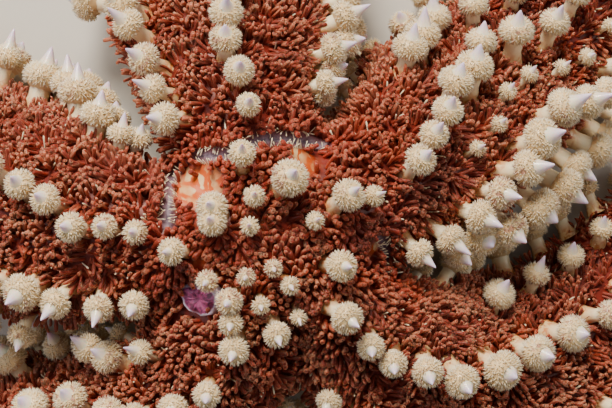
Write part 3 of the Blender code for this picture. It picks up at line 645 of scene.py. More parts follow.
def plaster_floor(colours):
    """A matt plaster floor with the faint unevenness that a brushed one has."""
    material, tree, shader, place = new_material("matt_plaster", {"Roughness": 0.8})
    cloud = add(tree, NOISE, {"Vector": place, "Scale": per_mm(40.0), "Detail": 4.0})["Fac"]
    shade = tuple(c * 0.93 for c in colours.floor)
    body = add(tree, MIX, {0: cloud, 6: rgba(colours.floor), 7: rgba(shade)}, **COLOUR)[2]
    strokes = add(tree, NOISE, {"Vector": place, "Scale": per_mm(1.5), "Detail": 3.0})["Fac"]
    finish_material(tree, shader, body, strokes, 0.1, 0.2 * MM)
    return material


# The skin: steps round an arm's section, and out and round over the disc
SECTION_STEPS = 44
DOME_STEPS = 9
SECTOR_STEPS = 15
STATION_STEP = 0.9 * MM
ROUND_TIP = 3.0 * MM
FOLD_WIDTH = 0.75 * MM
FOLD_DEPTH = 0.7 * MM


def outer_section(s):
    """Closed section at s as (sideways, up) pairs, smooth over the back and with the groove below."""
    w = float(half_width(s))
    h = float(arm_height(s))
    mid = SECTION_CENTRE * h
    half = []
    for k in range(SECTION_STEPS // 2 + 1):
        angle = math.radians(-24.0) + math.radians(114.0) * k / (SECTION_STEPS // 2)
        rise = (h - mid) if angle > 0.0 else mid
        half.append((w * math.cos(angle), mid + rise * math.sin(angle)))
    half_groove = GROOVE_HALF * w
    depth = GROOVE_DEPTH * h
    below = [(0.0, 1.35 * depth), (0.5 * half_groove, depth), (half_groove, 0.25 * depth),
             (1.25 * half_groove, 0.03 * h), (0.55 * w, 0.0), (LEDGE_EDGE * w, 0.0)]
    left = below + half
    right = [(-x, z) for x, z in reversed(left[1:-1])]
    return np.array(left + right)


def arm_tube(arm):
    """Vertices and faces of one arm from inside the disc to its tip, closed at both ends."""
    stations = np.concatenate([np.arange(START - 4.0 * MM, ARM_RADIUS - ROUND_TIP, STATION_STEP),
                               ARM_RADIUS - ROUND_TIP * np.cos(np.linspace(0.0, math.pi / 2.0, 7)[:-1])])
    point, tangent, side, up = arm.frame(stations)
    rings = []
    for k, s in enumerate(stations):
        section = outer_section(max(s, START))
        from_tip = max(0.0, 1.0 - (ARM_RADIUS - s) / ROUND_TIP)
        share = math.sqrt(max(1.0 - from_tip ** 2, 0.02))
        heart = 0.45 * float(arm_height(s))
        x = section[:, 0] * share
        z = heart + (section[:, 1] - heart) * share
        rings.append(point[k] + side[k] * x[:, None] + up[k] * z[:, None])
    count = len(rings[0])
    vertices = np.concatenate(rings + [[rings[0].mean(0)], [rings[-1].mean(0)]])
    quads = turned_faces(len(rings), count)[0]
    tris = []
    last = (len(rings) - 1) * count
    for k in range(count):
        n = (k + 1) % count
        tris.append((n, k, len(vertices) - 2))
        tris.append((last + k, last + n, len(vertices) - 1))
    return vertices, quads, tris


def dome_edge(sector):
    """Reach and height of the disc's upper edge, where it meets an arm, at an angle from that arm's middle."""
    x = min(abs(math.tan(sector)) * START / START_HALF_WIDTH, 0.93)
    mid = SECTION_CENTRE * ARM_HEIGHT
    z = mid + (ARM_HEIGHT - mid) * math.sqrt(1.0 - x * x)
    return (START + z * math.sin(BASE_SLOPE)) / math.cos(sector), z * math.cos(BASE_SLOPE) - ARCH


def sector_angle(heading):
    """Angle from the nearest arm's middle."""
    return (heading - FIRST_HEADING + math.pi / 5.0) % (2.0 * math.pi / 5.0) - math.pi / 5.0


def dome_height(heading, reach):
    """Height of the disc's back in its own frame, at a heading and distance from the middle."""
    edge, top = dome_edge(sector_angle(heading))
    return DISC_HEIGHT + (top - DISC_HEIGHT) * (reach / edge) ** DOME_POWER


def disc_body():
    """Vertices and faces of the disc between the arms, domed above and drawn in to the mouth below."""
    columns = []
    for k in range(5 * SECTOR_STEPS):
        heading = FIRST_HEADING + 2.0 * math.pi * k / (5 * SECTOR_STEPS)
        sector = sector_angle(heading)
        edge = dome_edge(sector)[0]
        flat = np.array((math.cos(heading), math.sin(heading)))
        column = []
        for j in range(1, DOME_STEPS + 1):
            reach = edge * j / DOME_STEPS
            column.append((*(flat * reach), dome_height(heading, reach)))
        edge = START / math.cos(sector)
        column.append((*(flat * edge), 0.5 * MM - ARCH))
        for j in (0.75, 0.5, 0.3):
            column.append((*(flat * edge * j), 0.2 * MM - ARCH * j))
        column.append((*(flat * 2.4 * MM), 0.2 * MM))
        column.append((*(flat * 1.8 * MM), 3.2 * MM))
        columns.append(column)
    count = len(columns[0])
    vertices = [p for column in columns for p in column] + [(0.0, 0.0, DISC_HEIGHT), (0.0, 0.0, 3.6 * MM)]
    quads, tris = [], []
    total = len(columns)
    for k in range(total):
        n = (k + 1) % total
        for j in range(count - 1):
            quads.append((k * count + j, k * count + j + 1, n * count + j + 1, n * count + j))
        tris.append((total * count, k * count, n * count))
        tris.append((total * count + 1, n * count + count - 1, k * count + count - 1))
    return on_disc(np.array(vertices)), quads, tris


# Folds where the arms meet the disc: (heading, distance in mm) along each
CREASES = (
    ((128, 15.5), (118, 13.8), (106, 13.4), (94, 14.2), (84, 14.4), (72, 14.6), (62, 15.6)),
    ((137, 16.0), (150, 14.6), (163, 13.8)),
    ((2, 14.5), (-6, 15.6), (-12, 16.2)),
)
BARE_SPOTS = ((138, 12.4, 3.5), (68, 12.2, 2.5), (184, 9.4, 1.5), (356, 13.4, 1.6))


def disc_point(heading, distance):
    """Point on the disc's back at a heading in degrees and a distance in mm."""
    angle = math.radians(heading)
    reach = distance * MM
    return on_disc(np.array((math.cos(angle) * reach, math.sin(angle) * reach, dome_height(angle, reach))))


def distance_to_lines(points, lines):
    """Distance from each point to the nearest of several chains of points."""
    best = np.full(len(points), 1.0)
    for line in lines:
        for a, b in zip(line, line[1:]):
            ab = b - a
            t = np.clip(((points - a) @ ab) / (ab @ ab), 0.0, 1.0)
            best = np.minimum(best, np.linalg.norm(points - a - t[:, None] * ab, axis=1))
    return best


def crease_lines():
    """The folds as chains of points on the disc's back."""
    return [[disc_point(h, d) for h, d in line] for line in CREASES]


class Skin:
    """The finished skin: its tree for finding places on it, and its faces' normals."""
    tree = None
    normals = None

    @classmethod
    def place(cls, points):
        """Nearest skin points and smoothed normals for outer points."""
        roots, normals = [], []
        for p in points:
            hit, normal, index, _ = cls.tree.find_nearest(Vector(p))
            roots.append(hit)
            normals.append(cls.normals[index])
        return np.array(roots), unit(np.array(normals))


class STARFISH_OT_skin(Operator):
    """Build the one skin over disc and arms, with its folds"""
    bl_idname = "starfish.skin"
    bl_label = "Skin"

    def execute(self, context):
        body = context.scene.starfish_body
        parts = [arm_tube(arm) for arm in ARMS.values()] + [disc_body()]
        vertices, faces = [], []
        base = 0
        for v, quads, tris in parts:
            vertices.append(v)
            faces += [np.array(quads) + base, np.array(tris) + base]
            base += len(v)
        rough = solid("skin", np.concatenate(vertices), faces)
        remesh = rough.modifiers.new("remesh", "REMESH")
        remesh.mode = "VOXEL"
        remesh.voxel_size = body.skin_grain
        even = rough.modifiers.new("even", "SMOOTH")
        even.factor = 0.6
        even.iterations = 10
        graph = context.evaluated_depsgraph_get()
        mesh = bpy.data.meshes.new_from_object(rough.evaluated_get(graph))
        bpy.data.objects.remove(rough)
        count = len(mesh.vertices)
        co = np.zeros(count * 3)
        mesh.vertices.foreach_get("co", co)
        co = co.reshape(-1, 3)
        normal = np.zeros(count * 3)
        mesh.vertices.foreach_get("normal", normal)
        normal = normal.reshape(-1, 3)
        fold = np.exp(-(distance_to_lines(co, crease_lines()) / FOLD_WIDTH) ** 2)
        facing = smooth((normal[:, 2] + 0.45) / 0.5)
        size = smooth((co[:, 2] - 0.3 * MM) / (3.0 * MM))
        depth = body.carpet * (0.12 + 0.88 * facing * size) + FOLD_DEPTH * fold
        co = co - normal * depth[:, None]
        mesh.vertices.foreach_set("co", co.ravel())
        spots = np.zeros(count)
        for heading, distance, radius in BARE_SPOTS:
            away = np.linalg.norm(co - disc_point(heading, distance), axis=1)
            spots = np.maximum(spots, 1.0 - smooth((away - 0.6 * radius * MM) / (0.6 * radius * MM)))
        under = 1.0 - smooth((normal[:, 2] + 0.5) / 0.35)
        for label, values in (("crease", fold), ("bare", spots), ("belly", under)):
            layer = mesh.attributes.new(label, "FLOAT", "POINT")
            layer.data.foreach_set("value", values.astype(np.float32))
        mesh.materials.clear()
        mesh.shade_smooth()
        obj = bpy.data.objects.new("skin", mesh)
        context.collection.objects.link(obj)
        finish_piece(obj, wet_skin(context.scene.starfish_colours))
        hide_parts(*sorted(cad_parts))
        mesh.update()
        polygons = np.zeros(len(mesh.polygons) * 3)
        mesh.polygons.foreach_get("normal", polygons)
        Skin.tree = BVHTree.FromPolygons([v.co for v in mesh.vertices], [p.vertices for p in mesh.polygons])
        Skin.normals = polygons.reshape(-1, 3)
        return {"FINISHED"}


# How far up its spine a wreath sits in the solids, here on most spines, and on the flanks' long-pointed ones
WREATH_RISE = 0.56
WREATH_PERCH = 0.60
FLANK_PERCH = 0.52
# A spine that comes too near something turns up step by step, or shrinks
TURN_UP = np.array((0.0, 0.0, 0.12))
TURN_TRIES = 14
SPINE_GAP = 0.6 * MM
SHRINK_STEPS = (1.0, 0.8, 0.62)


def rows_of(name):
    """Rows of one arm: angle up the flank, side, spacing factor, size, first place and lean to the left."""
    rows = [(BACK_ANGLES[name], 1, 1.0, BACK_SIZES[name], BACK_STARTS[name], BACK_LEANS[name])]
    for sign, angle, first, size in zip((1, -1), FLANK_ANGLES[name], FLANK_STARTS[name], FLANK_SIZES[name]):
        rows.append((angle, sign, 1.0, size, first, 0.0))
    for sign, size in zip((1, -1), MARGIN_SIZES[name]):
        rows.append((MARGIN_ANGLE, sign, MARGIN_STRETCH, size, MARGIN_START, 0.0))
    if name in SMALL_ROWS:
        angle, sign, first = SMALL_ROWS[name]
        rows.append((angle, sign, 1.0, SMALL_SIZE, first, 0.0))
    return [(math.radians(row[0]), row[1], row[2], row[3], row[4] * MM, row[5]) for row in rows]


def spine_growth(s):
    """Size of a spine at s: growing away from the disc, then shrinking towards the tip."""
    short = 1.0 - min((s - START) / GROWTH_LENGTH, 1.0)
    grown = GROWTH_START + (GROWTH_END - GROWTH_START) * (1.0 - short ** 2)
    return grown * (1.0 - (1.0 - SPINE_SHARE_AT_TIP) * float(along(s)))


def spine_spacing(share):
    """Distance between spines, widest half way along and closer again at the tip."""
    near = SPINE_SPACING + (SPINE_SPACING_MIDWAY - SPINE_SPACING) * float(smooth(share / 0.3))
    return near + (SPINE_SPACING_AT_TIP - SPINE_SPACING_MIDWAY) * float(smooth((share - 0.4) / 0.6))


def row_stations(arm, angle, sign, stretch, first):
    """Distances along the arm of a row's spines, evenly spaced along the row at its wreaths' height."""
    around = angle if sign > 0 else math.pi - angle
    points = arm.surface(arm.s, np.full(len(arm.s), around), SPINE_HEIGHT * WREATH_RISE)[0]
    run = np.concatenate([[0.0], np.cumsum(np.linalg.norm(np.diff(points, axis=0), axis=1))])
    stations = []
    reach = first
    while reach < run[-1]:
        s = float(np.interp(reach, run, arm.s))
        if s > ARM_RADIUS - 1.5 * MM:
            break
        stations.append(s)
        reach += stretch * spine_spacing(float(along(s)))
    return stations


def off_axis(arm, point):
    """Distance from a point to an arm's flesh, taking the arm as round about its middle line."""
    middle = arm.middle + arm.up * (SECTION_CENTRE * arm_height(arm.s))[:, None]
    return float((np.sqrt(((middle - point) ** 2).sum(1)) - half_width(arm.s)).min())


def line_gap(a, b, c, d):
    """Smallest distance between two short lines, tried at a few points of each."""
    shares = np.linspace(0.0, 1.0, 5)[:, None]
    one = a + (b - a) * shares
    two = c + (d - c) * shares
    return float(np.linalg.norm(one[:, None] - two[None], axis=2).min())


def clear_of_arms(name, others, taken, root, direction, tall, wide):
    """Turn a spine up until it keeps off the other arms and their spines, or give it up."""
    for _ in range(TURN_TRIES):
        ring = root + direction * tall * WREATH_RISE
        top = root + direction * tall
        blocked = any(off_axis(other, ring) < wide / 2.0 + SPINE_GAP for other in others)
        for owner, low, high, width in taken:
            if owner != name and not blocked:
                blocked = line_gap(ring, top, low, high) < (wide + width) / 2.0 + SPINE_GAP
        if not blocked:
            return direction
        direction = unit(direction + TURN_UP)
    return None


def spine_list():
    """Every spine: root, direction, height, wreath width, region, share along the arm, share up to its wreath."""
    spines = []
    draw = random.Random("{} disc".format(SEED))
    for heading, distance, size in DISC_SPINES:
        angle = math.radians(heading)
        fall = distance * MM / DOME_CURVE
        outward = math.sin(fall)
        facing = TILT @ np.array((math.cos(angle) * outward, math.sin(angle) * outward, math.cos(fall)))
        lean = np.array((draw.uniform(-0.12, 0.12), draw.uniform(-0.12, 0.12), 0.0))
        draw.uniform(0.0, math.pi)
        tall = SPINE_HEIGHT * (0.35 + 0.65 * size)
        root = disc_point(heading, distance)
        spines.append((root, unit(facing + lean), tall, WREATH_WIDTH * size, "disc", 0.0, WREATH_PERCH))
    rows = [(name, index, row) for name in ARM_NAMES for index, row in enumerate(rows_of(name))]
    rows.sort(key=lambda item: item[2][2] == MARGIN_STRETCH)
    taken = []
    for name, index, (angle, sign, stretch, size, first, left) in rows:
        arm = ARMS[name]
        others = [other for key, other in ARMS.items() if key != name]
        draw = random.Random("{} {} {}".format(SEED, name, index))
        for s in row_stations(arm, angle, sign, stretch, first):
            share = float(along(s))
            small = spine_growth(s) * size
            tall = SPINE_HEIGHT * small * draw.uniform(0.88, 1.1)
            wide = WREATH_WIDTH * small * draw.uniform(0.86, 1.1)
            outward = draw.uniform(-0.12, 0.22) + min(OUTWARD_LEAN * share, OUTWARD_LEAN_MOST)
            aside = angle + draw.uniform(-0.07, 0.07)
            draw.uniform(0.0, math.pi)
            place = s + draw.uniform(-0.3, 0.3) * MM
            around = aside if sign > 0 else math.pi - aside
            root, normal, tangent = (v[0] for v in arm.surface(place, np.array([around])))
            for shrink in SHRINK_STEPS:
                high, broad = tall * shrink, wide * shrink
                direction = unit(normal + tangent * outward + arm.frame(place)[2][0] * left)
                for _ in range(TURN_TRIES):
                    ring = root[2] + direction[2] * high * WREATH_RISE - broad / 2.0
                    if min(ring, root[2] + direction[2] * high) > 0.4 * MM:
                        break
                    direction = unit(direction + TURN_UP)
                direction = clear_of_arms(name, others, taken, root, direction, high, broad)
                if direction is not None:
                    perch = FLANK_PERCH if index in (1, 2) else WREATH_PERCH
                    spines.append((root, direction, high, broad, name, share, perch))
                    taken.append((name, root + direction * high * WREATH_RISE, root + direction * high, broad))
                    break
    return spines


SPINES = spine_list()


def patch_place(region, share, length):
    """Where a root lies on the unwrap: one strip for the disc and one for each arm."""
    strip = 0 if region == "disc" else 1 + ARM_NAMES.index(region)
    return (strip + 0.08 + 0.84 * np.clip(share, 0.0, 1.0)) / 6.0, 0.03 + 0.94 * np.clip(length, 0.0, 1.0)


def gill_roots(body, region, dice):
    """Outer places, normals and unwrap places for one region's gills, with how far out they lie."""
    spots, normals, places, outward = [], [], [], []
    gap = body.gill_spacing * (1.10 if region == "disc" else 1.0)
    if region == "disc":
        reach = DISC_RADIUS + 3.0 * MM
        rows = int(2 * reach / (gap * 0.87))
        for i in range(rows):
            y = -reach + i * gap * 0.87
            for j in range(int(2 * reach / gap)):
                x = -reach + (j + 0.5 * (i % 2)) * gap
                x0 = x + dice.uniform(-0.3, 0.3) * gap
                y0 = y + dice.uniform(-0.3, 0.3) * gap
                heading = math.atan2(y0, x0)
                distance = math.hypot(x0, y0)
                if distance > dome_edge(sector_angle(heading))[0]:
                    continue
                e = 0.3 * MM
                high = dome_height(heading, distance)
                out = (dome_height(heading, distance + e) - high) / e
                spots.append(on_disc(np.array((x0, y0, high))))
                normals.append(TILT @ unit(np.array((-out * math.cos(heading), -out * math.sin(heading), 1.0))))
                places.append(patch_place("disc", 0.5 + 0.5 * x0 / reach, 0.5 + 0.5 * y0 / reach))
                outward.append(0.0)
    else:
        arm = ARMS[region]
        s = START + 0.2 * gap
        row = 0
        while s < ARM_RADIUS - 1.0 * MM:
            far = float(smooth((s - body.near_length) / (30.0 * MM)))
            here = gap * (1.0 + 0.38 * far)
            w = float(half_width(s))
            h = float(arm_height(s))
            low = math.radians(-14.0)
            steps = np.linspace(low, math.pi - low, 60)
            rise = np.where(np.sin(steps) > 0.0, h * (1.0 - SECTION_CENTRE), h * SECTION_CENTRE)
            x, z = w * np.cos(steps), rise * np.sin(steps)
            arc = np.concatenate([[0.0], np.cumsum(np.hypot(np.diff(x), np.diff(z)))])
            count = max(3, int(arc[-1] / here))
            wanted = (np.arange(count) + 0.25 + 0.5 * (row % 2)) * arc[-1] / count
            wanted = wanted + np.array([dice.uniform(-0.3, 0.3) for _ in range(count)]) * here
            angles = np.interp(wanted, arc, steps)
            lengths = np.full(count, s) + np.array([dice.uniform(-0.3, 0.3) for _ in range(count)]) * here
            place, normal, tangent = arm.surface(lengths, angles)
            spots += list(place)
            normals += list(normal)
            u, v = patch_place(region, (angles - low) / (math.pi - 2 * low), along(lengths))
            places += list(zip(u, v))
            outward += [float(along(s))] * count
            s += here * 0.87
            row += 1
    return np.array(spots), np.array(normals), np.array(places), np.array(outward)


def upper_side(directions, normals, spin, sides, rings):
    """Which corners look away from the skin: 1 on the upper side of a finger that lies over, and at its end;
    there the gills' dark core is painted as shade.
    """
    aside, across = frames_about(directions, spin)
    angle = 2.0 * math.pi * np.arange(sides) / sides
    ring = aside[:, None, :] * np.cos(angle)[None, :, None] + across[:, None, :] * np.sin(angle)[None, :, None]
    up = normals - directions * (directions * normals).sum(1)[:, None]
    facing = np.clip((ring * up[:, None, :]).sum(2) * 1.6, 0.0, 1.0)
    ends = np.ones((len(directions), 1))
    return np.concatenate([np.tile(facing, (1, rings)), ends], 1).reshape(-1)


def slow_noise(points, size, seed):
    """Smooth vectors that change over about the given size, from a few sine waves."""
    dice = np.random.RandomState(seed)
    total = np.zeros_like(points)
    for _ in range(6):
        wave = dice.normal(size=(3, 3)) / size * 2.2
        total += np.sin(points @ wave + dice.uniform(0, 6.28, 3))
    return total / 2.4


# How far gills keep off stems, the sieve plate, folds and the floor, and the share that stands on bare skin
STEM_GAP = 0.30 * MM
SIEVE_GAP = 2.7 * MM
FOLD_GAP = 0.48 * MM
FLOOR_GAP = 0.8 * MM
STRAY_SHARE = 0.06
# The disc's gills are shorter and thicker; all are a little flat; past this share of the arm they are plainer
DISC_GILL_LENGTH = 0.86
DISC_GILL_WIDTH = 1.28
GILL_FLATNESS = 0.86
FINE_SHARE = 0.42
# Share of the height and of the width, from foot to end, and sides of the gills of each distance
GILL_FORMS = (
    ("near", ((0.0, 0.80), (0.50, 0.92), (0.86, 1.0), (0.99, 0.66), (0.90, 0.0)), 6),
    ("middle", ((0.0, 0.85), (0.80, 1.0), (0.98, 0.62), (0.90, 0.0)), 5),
    ("far", ((0.0, 0.85), (0.65, 1.0), (1.0, 0.0)), 4),
)


class STARFISH_OT_gills(Operator):
    """Grow the carpet of gill fingers on the skin, one piece for the disc and three for each arm"""
    bl_idname = "starfish.gills"
    bl_label = "Gill carpet"

    def execute(self, context):
        body = context.scene.starfish_body
        material = gill_membrane(context.scene.starfish_colours)
        stems = np.array([spine[0] for spine in SPINES])
        stem_width = np.array([max(spine[3] * 0.21, 0.3 * MM) for spine in SPINES])
        sieve = disc_point(*SIEVE_PLATE)
        lines = crease_lines()
        for region in ("disc",) + ARM_NAMES:
            dice = random.Random("gills {} {}".format(SEED, region))
            state = np.random.RandomState(ARM_NAMES.index(region) + 11 if region != "disc" else 10)
            spots, normals, places, outward = gill_roots(body, region, dice)
            keep = np.ones(len(spots), bool)
            for stem, width in zip(stems, stem_width):
                keep &= np.linalg.norm(spots - stem, axis=1) > width + STEM_GAP
            keep &= np.linalg.norm(spots - sieve, axis=1) > SIEVE_GAP
            fold = distance_to_lines(spots, lines)
            keep &= fold > FOLD_GAP
            for heading, distance, radius in BARE_SPOTS:
                away = np.linalg.norm(spots - disc_point(heading, distance), axis=1)
                keep &= (away > radius * MM * 0.9) | (state.uniform(size=len(spots)) < STRAY_SHARE)
            keep &= spots[:, 2] > FLOOR_GAP
            spots, normals, places, outward, fold = (v[keep] for v in (spots, normals, places, outward, fold))
            roots, facing = Skin.place(spots)
            count = len(roots)
            clump = slow_noise(roots, 2.6 * MM, 3) * 0.75
            direction = unit(facing * 0.4 + normals * 0.6 + clump + state.normal(size=(count, 3)) * 0.20)
            inward = (direction * normals).sum(1) < 0.35
            direction[inward] = unit(direction[inward] + normals[inward] * 0.8)
            far = smooth((outward - 0.25) / 0.75)
            length = body.gill_length * (1.0 - 0.5 * far) * state.uniform(0.78, 1.18, count)
            if region == "disc":
                length = length * DISC_GILL_LENGTH
            length = length * (0.75 + 0.25 * smooth((fold - 0.6 * MM) / (2.0 * MM)))
            radius = body.gill_width / 2.0 * (1.0 - 0.30 * far) * state.uniform(0.80, 1.18, count)
            if region == "disc":
                radius = radius * DISC_GILL_WIDTH
            bend = unit(np.cross(direction, state.normal(size=(count, 3))))
            bend = bend * state.uniform(0.0, 0.42, count)[:, None]
            tone = state.uniform(0.0, 1.0, count)
            tone = np.clip(0.55 * tone + 0.45 * (0.5 + 0.5 * slow_noise(roots, 7.0 * MM, 5)[:, 0]), 0.0, 1.0)
            blush = np.exp(-(fold / (5.0 * MM)) ** 2)
            near = outward < float(along(body.near_length))
            middle = ~near & (outward < FINE_SHARE)
            for (label, profile, sides), chosen in zip(GILL_FORMS, (near, middle, ~near & ~middle)):
                if not chosen.any():
                    continue
                name = "gills_disc" if region == "disc" else "gills_arm_{}_{}".format(region, label)
                picked = int(chosen.sum())
                spin = state.uniform(0, 6.28, picked)
                vertices, faces, rise, uv, per = many_turned(
                    roots[chosen], direction[chosen], length[chosen], radius[chosen], profile, sides,
                    spin, bend[chosen], GILL_FLATNESS, places[chosen])
                # The dark core is painted as shade on the upper side and end of each finger
                upper_shade = upper_side(direction[chosen], normals[chosen], spin, sides, len(profile) - 1)
                marks = {"rise": rise, "upper_shade": upper_shade}
                marks.update({"tone": np.repeat(tone[chosen], per), "blush": np.repeat(blush[chosen], per)})
                piece = solid(name, vertices, faces, marks, uv)
                finish_piece(piece, material)
        return {"FINISHED"}


# Where pincers stand on their cushion, in degrees from the spine's line
PINCERS_FROM = 32.0
PINCERS_TO = 124.0
# Share of the height and of the width, from foot to end
STEM_PROFILE = ((0.12, 1.12), (0.4, 0.88), (0.75, 0.95), (1.0, 1.1), (1.05, 0.0))
CUSHION_ANGLES = (150.0, 118.0, 90.0, 62.0, 38.0)
POINT_PROFILE = ((0.0, 1.45), (0.25, 1.06), (0.5, 0.74), (0.8, 0.38), (0.96, 0.16), (1.0, 0.0))


class STARFISH_OT_spines(Operator):
    """Set the spines: bare stems, cushions ringed with pincers, and smooth points"""
    bl_idname = "starfish.spines"
    bl_label = "Spines and wreaths"

    def execute(self, context):
        sizes = context.scene.starfish_spines
        colours = context.scene.starfish_colours
        chalk, stalk, calcite = pincer_chalk(colours), stalk_skin(colours), spine_calcite(colours)
        roots, _ = Skin.place([spine[0] for spine in SPINES])
        golden = math.pi * (3.0 - math.sqrt(5.0))
        wreaths = {}
        stems, points = [], []
        for index, (outer, direction, tall, wide, region, share, perch) in enumerate(SPINES):
            state = np.random.RandomState(1000 + index)
            root = roots[index]
            top = outer + direction * tall
            line = unit(top - root)
            full = float(np.linalg.norm(top - root))
            near = share < FINE_SHARE
            length = share if region != "disc" else 0.25 + 0.5 * index / len(DISC_SPINES)
            place = np.array(patch_place(region, 0.5 + 0.4 * math.sin(index * 2.4), length))[None]
            heart = root + line * full * perch
            radius = wide / 2.0 * sizes.cushion
            thick = radius * 0.80
            one = np.array([line])
            here = np.array([root])
            spin = np.array([state.uniform(0, 6.28)])
            foot = max(wide * 0.25, 0.35 * MM)
            neck = full * perch
            profile = ((-0.3 * MM / neck, 1.35),) + STEM_PROFILE
            v, f, rise, uv, per = many_turned(
                here, one, np.array([neck]), np.array([foot]), profile, 9, spin, patch=place)
            stems.append((v, f, {"rise": rise}, uv))
            across = 12 if near else 8
            angles = np.radians(CUSHION_ANGLES)
            profile = [(-math.cos(math.pi - a) * thick / full, math.sin(a) * radius) for a in angles]
            profile = [(perch + p[0], p[1]) for p in profile] + [(perch + thick * 0.9 / full, 0.0)]
            v, f, rise, uv, per = many_turned(
                here, one, np.array([full]), np.array([1.0]), profile, across, spin, patch=place)
            group = wreaths.setdefault(region, [])
            # rise 0.05 gives the cushion between the pincers the tan painted shade of their feet
            group.append((v, f, {"rise": np.full(len(v), 0.05), "tone": np.full(len(v), 0.6)}, uv))
            count = max(14, int(sizes.pincers * (wide / WREATH_WIDTH) ** 1.7 * (1.0 if near else 0.6)))
            k = np.arange(count) + 0.5
            first, last = math.cos(math.radians(PINCERS_FROM)), math.cos(math.radians(PINCERS_TO))
            polar = np.arccos(first + (last - first) * k / count)
            polar = polar + state.normal(size=count) * 0.05
            turn = golden * np.arange(count) + state.normal(size=count) * 0.10 + spin[0]
            aside, sideways = frames_about(one, np.zeros(1))
            flat = aside * np.cos(turn)[:, None] + sideways * np.sin(turn)[:, None]
            out, high = np.sin(polar)[:, None], np.cos(polar)[:, None]
            base = heart + flat * out * radius * 0.93 + line * high * thick * 0.93
            way = unit(flat * out / radius + line * high / thick + state.normal(size=(count, 3)) * 0.10 / radius)
            stretch = state.uniform(0.8, 1.2, count) * (0.75 + 0.25 * wide / WREATH_WIDTH)
            lengths = sizes.pincer_length * stretch
            widths = sizes.pincer_width / 2.0 * state.uniform(0.85, 1.15, count) * (1.0 if near else 1.15)
            profile = ((0.0, 1.0), (0.50, 0.60), (1.0, 0.0)) if share < 0.2 else ((0.0, 1.0), (1.0, 0.0))
            v, f, rise, uv, per = many_turned(
                base, way, lengths, widths, profile, 3, state.uniform(0, 6.28, count),
                patch=np.repeat(place, count, 0))
            group.append((v, f, {"rise": rise, "tone": np.repeat(state.uniform(0, 1, count), per)}, uv))
            blunt = wide * sizes.point / 2.0 * (0.78 if region == "disc" else 1.0)
            low = perch + thick * 0.75 / full
            profile = [(low + (1.0 - low) * up, width) for up, width in POINT_PROFILE]
            v, f, rise, uv, per = many_turned(
                here, one, np.array([full]), np.array([blunt]), profile, 10, spin, patch=place)
            points.append((v, f, {"rise": (rise - low) / (1 - low)}, uv))
        for region, parts in wreaths.items():
            v, f, marks, uv = join_parts(parts)
            name = "wreaths_disc" if region == "disc" else "wreaths_arm_{}".format(region)
            finish_piece(solid(name, v, f, marks, uv), chalk)
        v, f, marks, uv = join_parts(stems)
        finish_piece(solid("spine_stems", v, f, marks, uv), stalk)
        v, f, marks, uv = join_parts(points)
        finish_piece(solid("spine_points", v, f, marks, uv), calcite)
        return {"FINISHED"}


# Straight pincers: the step along a fold, how far beside it they stand, and how many are loose on an arm
FOLD_STEP = 0.30 * MM
FOLD_BESIDE = (0.35, 0.85)
LOOSE_PINCERS = 260
LOOSE_PROFILE = ((-0.1, 0.7), (0.5, 0.75), (0.78, 1.15), (0.93, 0.75), (1.0, 0.0))


class STARFISH_OT_small_pincers(Operator):
    """Scatter straight white pincers along the folds and between the gills"""
    bl_idname = "starfish.small_pincers"
    bl_label = "Straight pincers"

    def execute(self, context):
        state = np.random.RandomState(77)
        spots, places, leans = [], [], []
        for line in crease_lines():
            for a, b in zip(line, line[1:]):
                steps = max(2, int(np.linalg.norm(b - a) / FOLD_STEP))
                across = unit(np.cross(b - a, TILT @ np.array((0.0, 0.0, 1.0))))
                for t in np.linspace(0, 1, steps, endpoint=False):
                    for side in (1.0, -1.0):
                        middle = a + (b - a) * (t + state.uniform(-0.03, 0.03))
                        spots.append(middle + across * side * state.uniform(*FOLD_BESIDE) * MM)
                        leans.append(-across * side * 0.6 + state.normal(size=3) * 0.6)
                        places.append(patch_place("disc", 0.5, state.uniform(0.1, 0.9)))
        for name, arm in ARMS.items():
            for _ in range(LOOSE_PINCERS):
                s = START + (ARM_RADIUS - START) * state.uniform() ** 1.4
                angle = state.uniform(0.15, math.pi - 0.15)
                spots.append(arm.surface(s, np.array([angle]))[0][0])
                places.append(patch_place(name, angle / math.pi, float(along(s))))
                leans.append(state.normal(size=3) * 0.35)
        roots, facing = Skin.place(spots)
        count = len(roots)
        way = unit(facing + np.array(leans))
        along_fold = distance_to_lines(roots, crease_lines()) < 2.0 * MM
        length = np.where(along_fold, 1.05, 1.55) * MM * state.uniform(0.75, 1.2, count)
        radius = np.where(along_fold, 0.065, 0.10) * MM * state.uniform(0.8, 1.3, count)
        shape = (roots, way, length, radius, LOOSE_PROFILE, 5, state.uniform(0, 6.28, count))
        marks = {"rise": lambda rise: 0.6 + 0.4 * rise, "tone": constant(0.1)}
        chalk = pincer_chalk(context.scene.starfish_colours)
        turned_piece("straight_pincers", places, shape, marks, chalk)
        return {"FINISHED"}


SIEVE_REACH = 2.5 * MM
SIEVE_RINGS = 14
SIEVE_SIDES = 72


